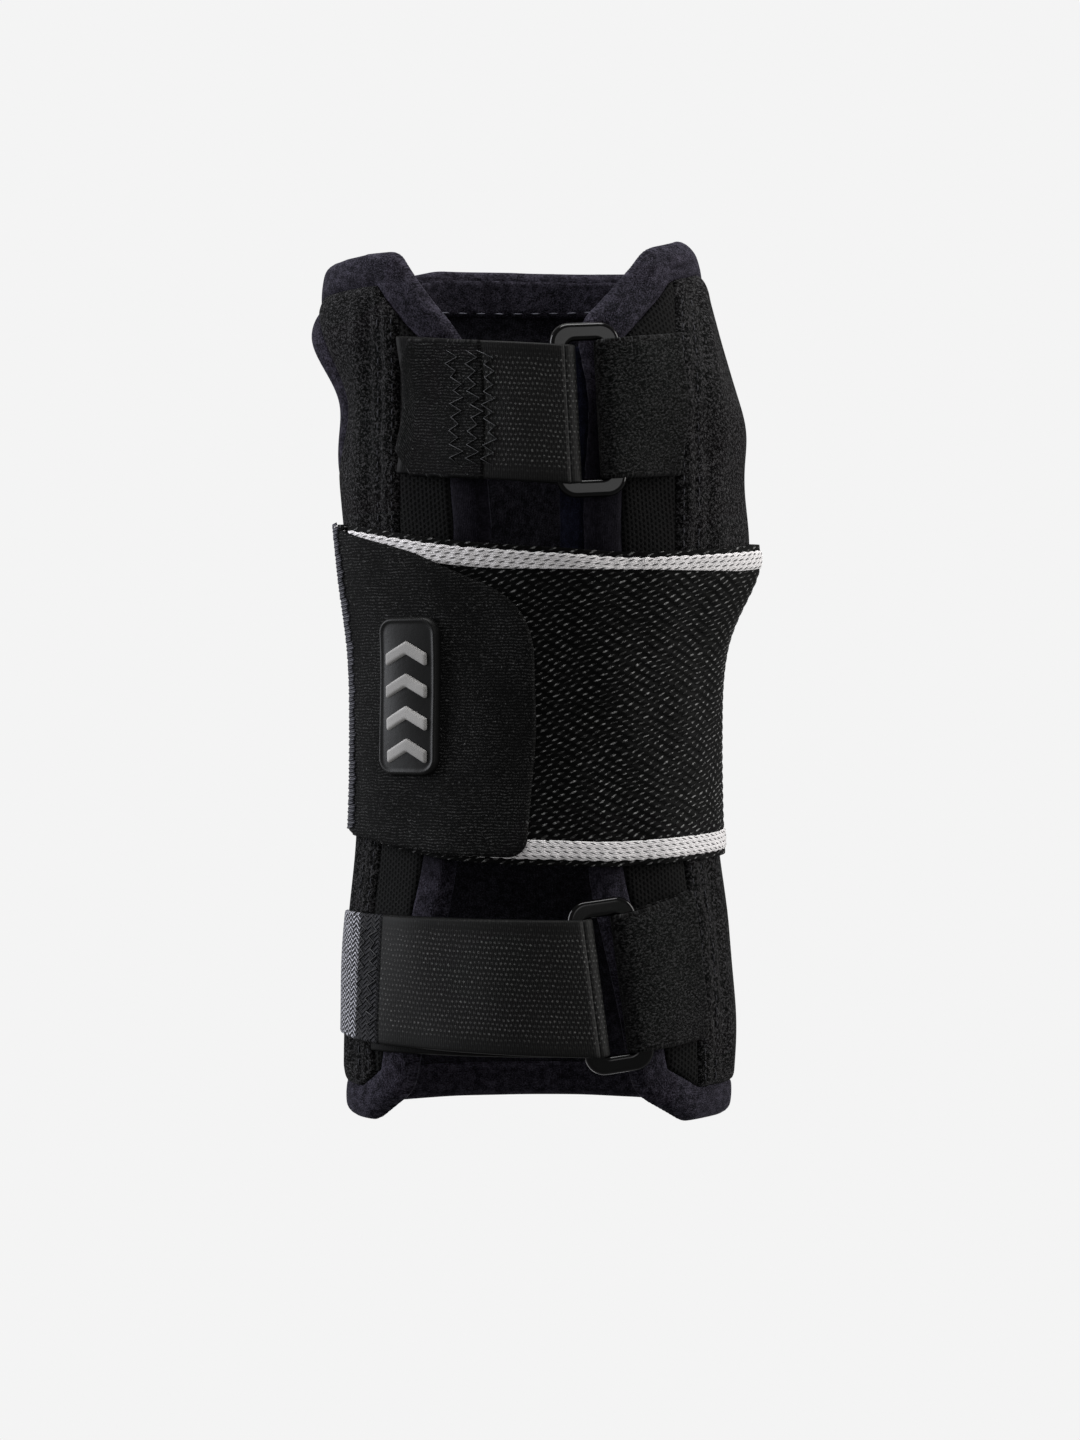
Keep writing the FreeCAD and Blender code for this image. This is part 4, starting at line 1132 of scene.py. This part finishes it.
# Overlock along the hook tab's sewn edge.
overlock = []
for k, height in enumerate(np.arange(69.0, 141.3, 0.95)):
    inner = TAB_LEFT + 4.6 + 0.5 * math.sin(k * 1.7) + 0.3 * math.sin(k * 0.6)
    outer = TAB_LEFT + 0.1 + 0.25 * math.sin(k * 2.9)
    half_way = (outer + inner) / 2
    for stitch in (
            ((outer, -0.5, -0.8), (outer + 0.3, -0.1, 0.05), (half_way, 0.45, 0.3), (inner, 0.9, 0.1)),
            ((inner, 0.9, 0.1), (inner + 0.35, 0.4, 0.3), (half_way, 0.1, 0.35), (outer + 0.3, 0.6, 0.1))):
        overlock.append([skin(run, height + up, TAB_OUT + rise) for run, up, rise in stitch])
threads("hook_tab_overlock", overlock, 0.24, M_OVERLOCK, "wrist_tab")


def along_seam(seam, offset, low, high, shift):
    heights = np.arange(low, high, 2.0)
    return np.stack([seam_run(seam, heights, offset) + shift, heights], 1)


pocket_seams = []
for (_, seam, offset, side, *_), (low, high) in zip(FRONT_SIDES, ((12, 194), (9, 199))):
    for shift in (1.2, 5.0):
        pocket_seams += running_stitches(along_seam(seam, offset, low, high, shift * side), 1.55)
threads("pocket_seam_stitches", pocket_seams, THREAD_RADIUS, M_THREAD, "guard")


def across_back(half_length, height):
    """Level route across the middle of the back."""
    return [(run, height) for run in np.linspace(BACK_RUN - half_length, BACK_RUN + half_length, 60)]


inner_stitches = running_stitches(across_back(42, GUARD_HEIGHT - INNER_HEM + 0.9), -4.4, 2.4, 2.6)
threads("inner_hem_stitches", inner_stitches, 0.2, M_LIGHT_THREAD, "guard")
threads("outer_hem_stitches",
        running_stitches(across_back(30, 198.0), 0.35) + running_stitches(across_back(30, 9.2), 0.35),
        THREAD_RADIUS, M_THREAD, "guard")

# ---- rings keep their CAD shape
for side in RINGS:
    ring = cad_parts[f"{side}_ring"]
    ring.data.materials.clear()
    ring.data.materials.append(M_RING)

# ---- floor, light and camera
CAMERA_HEIGHT = 103.0
CAMERA_DISTANCE = 700.0
FRONT_PLANE = -27.5
VIEW_HEIGHT = 335.0
VIEW_MIDDLE = (1.2, 95.1)
PALE = (0.905, 0.905, 0.905, 1)
FLOOR_HALF_SIZE = 6.0


def pale_floor():
    """Large floor that glows with the backdrop's own colour."""
    material = bpy.data.materials.new("floor")
    material.use_nodes = True
    set_inputs(material.node_tree.nodes["Principled BSDF"], Base_Color=(0.0, 0.0, 0.0, 1), Roughness=1.0,
               Specular_IOR_Level=0.0, Emission_Color=PALE, Emission_Strength=1.0)
    mesh = bpy.data.meshes.new("floor")
    corners = [(x * FLOOR_HALF_SIZE, y * FLOOR_HALF_SIZE, 0) for x, y in ((-1, -1), (1, -1), (1, 1), (-1, 1))]
    mesh.from_pydata(corners, [], [[0, 1, 2, 3]])
    mesh.materials.append(material)
    floor = bpy.data.objects.new("floor", mesh)
    bpy.context.collection.objects.link(floor)


def area_light(name, place, size, power, colour=(1, 1, 1)):
    """Softbox turned to the middle of the guard."""
    light = bpy.data.lights.new(name, "AREA")
    light.shape = "RECTANGLE"
    light.size, light.size_y = size
    light.energy = power
    light.color = colour
    lamp = bpy.data.objects.new(name, light)
    lamp.location = place
    lamp.rotation_euler = (Vector((0, 0, 0.1)) - Vector(place)).to_track_quat("-Z", "Y").to_euler()
    bpy.context.collection.objects.link(lamp)


pale_floor()
area_light("left_softbox", (-0.90, 0.0, 0.32), (0.30, 0.8), 34.0, (0.93, 0.95, 1.0))
area_light("right_softbox", (0.92, 0.0, 0.36), (0.30, 0.8), 30.0, (1.0, 0.99, 0.97))
area_light("front_fill", (0.33, -0.85, 0.26), (0.22, 0.30), 2.4)
area_light("top", (0.0, -0.10, 0.95), (0.5, 0.35), 22.0)

world = bpy.data.worlds.new("studio")
world.use_nodes = True
set_inputs(world.node_tree.nodes["Background"], Color=PALE, Strength=1.0)
bpy.context.scene.world = world
bpy.context.scene.view_settings.view_transform = "Standard"

camera_data = bpy.data.cameras.new("camera")
camera_data.sensor_fit = "VERTICAL"
camera_data.angle_y = 2 * math.atan(VIEW_HEIGHT / 2 / CAMERA_DISTANCE)
camera_data.shift_y = (VIEW_MIDDLE[1] - CAMERA_HEIGHT) / VIEW_HEIGHT
camera_data.clip_start = 0.01
camera = bpy.data.objects.new("camera", camera_data)
camera.location = (VIEW_MIDDLE[0] * MM, (FRONT_PLANE - CAMERA_DISTANCE) * MM, CAMERA_HEIGHT * MM)
camera.rotation_euler = (math.pi / 2, 0, 0)
bpy.context.collection.objects.link(camera)
bpy.context.scene.camera = camera
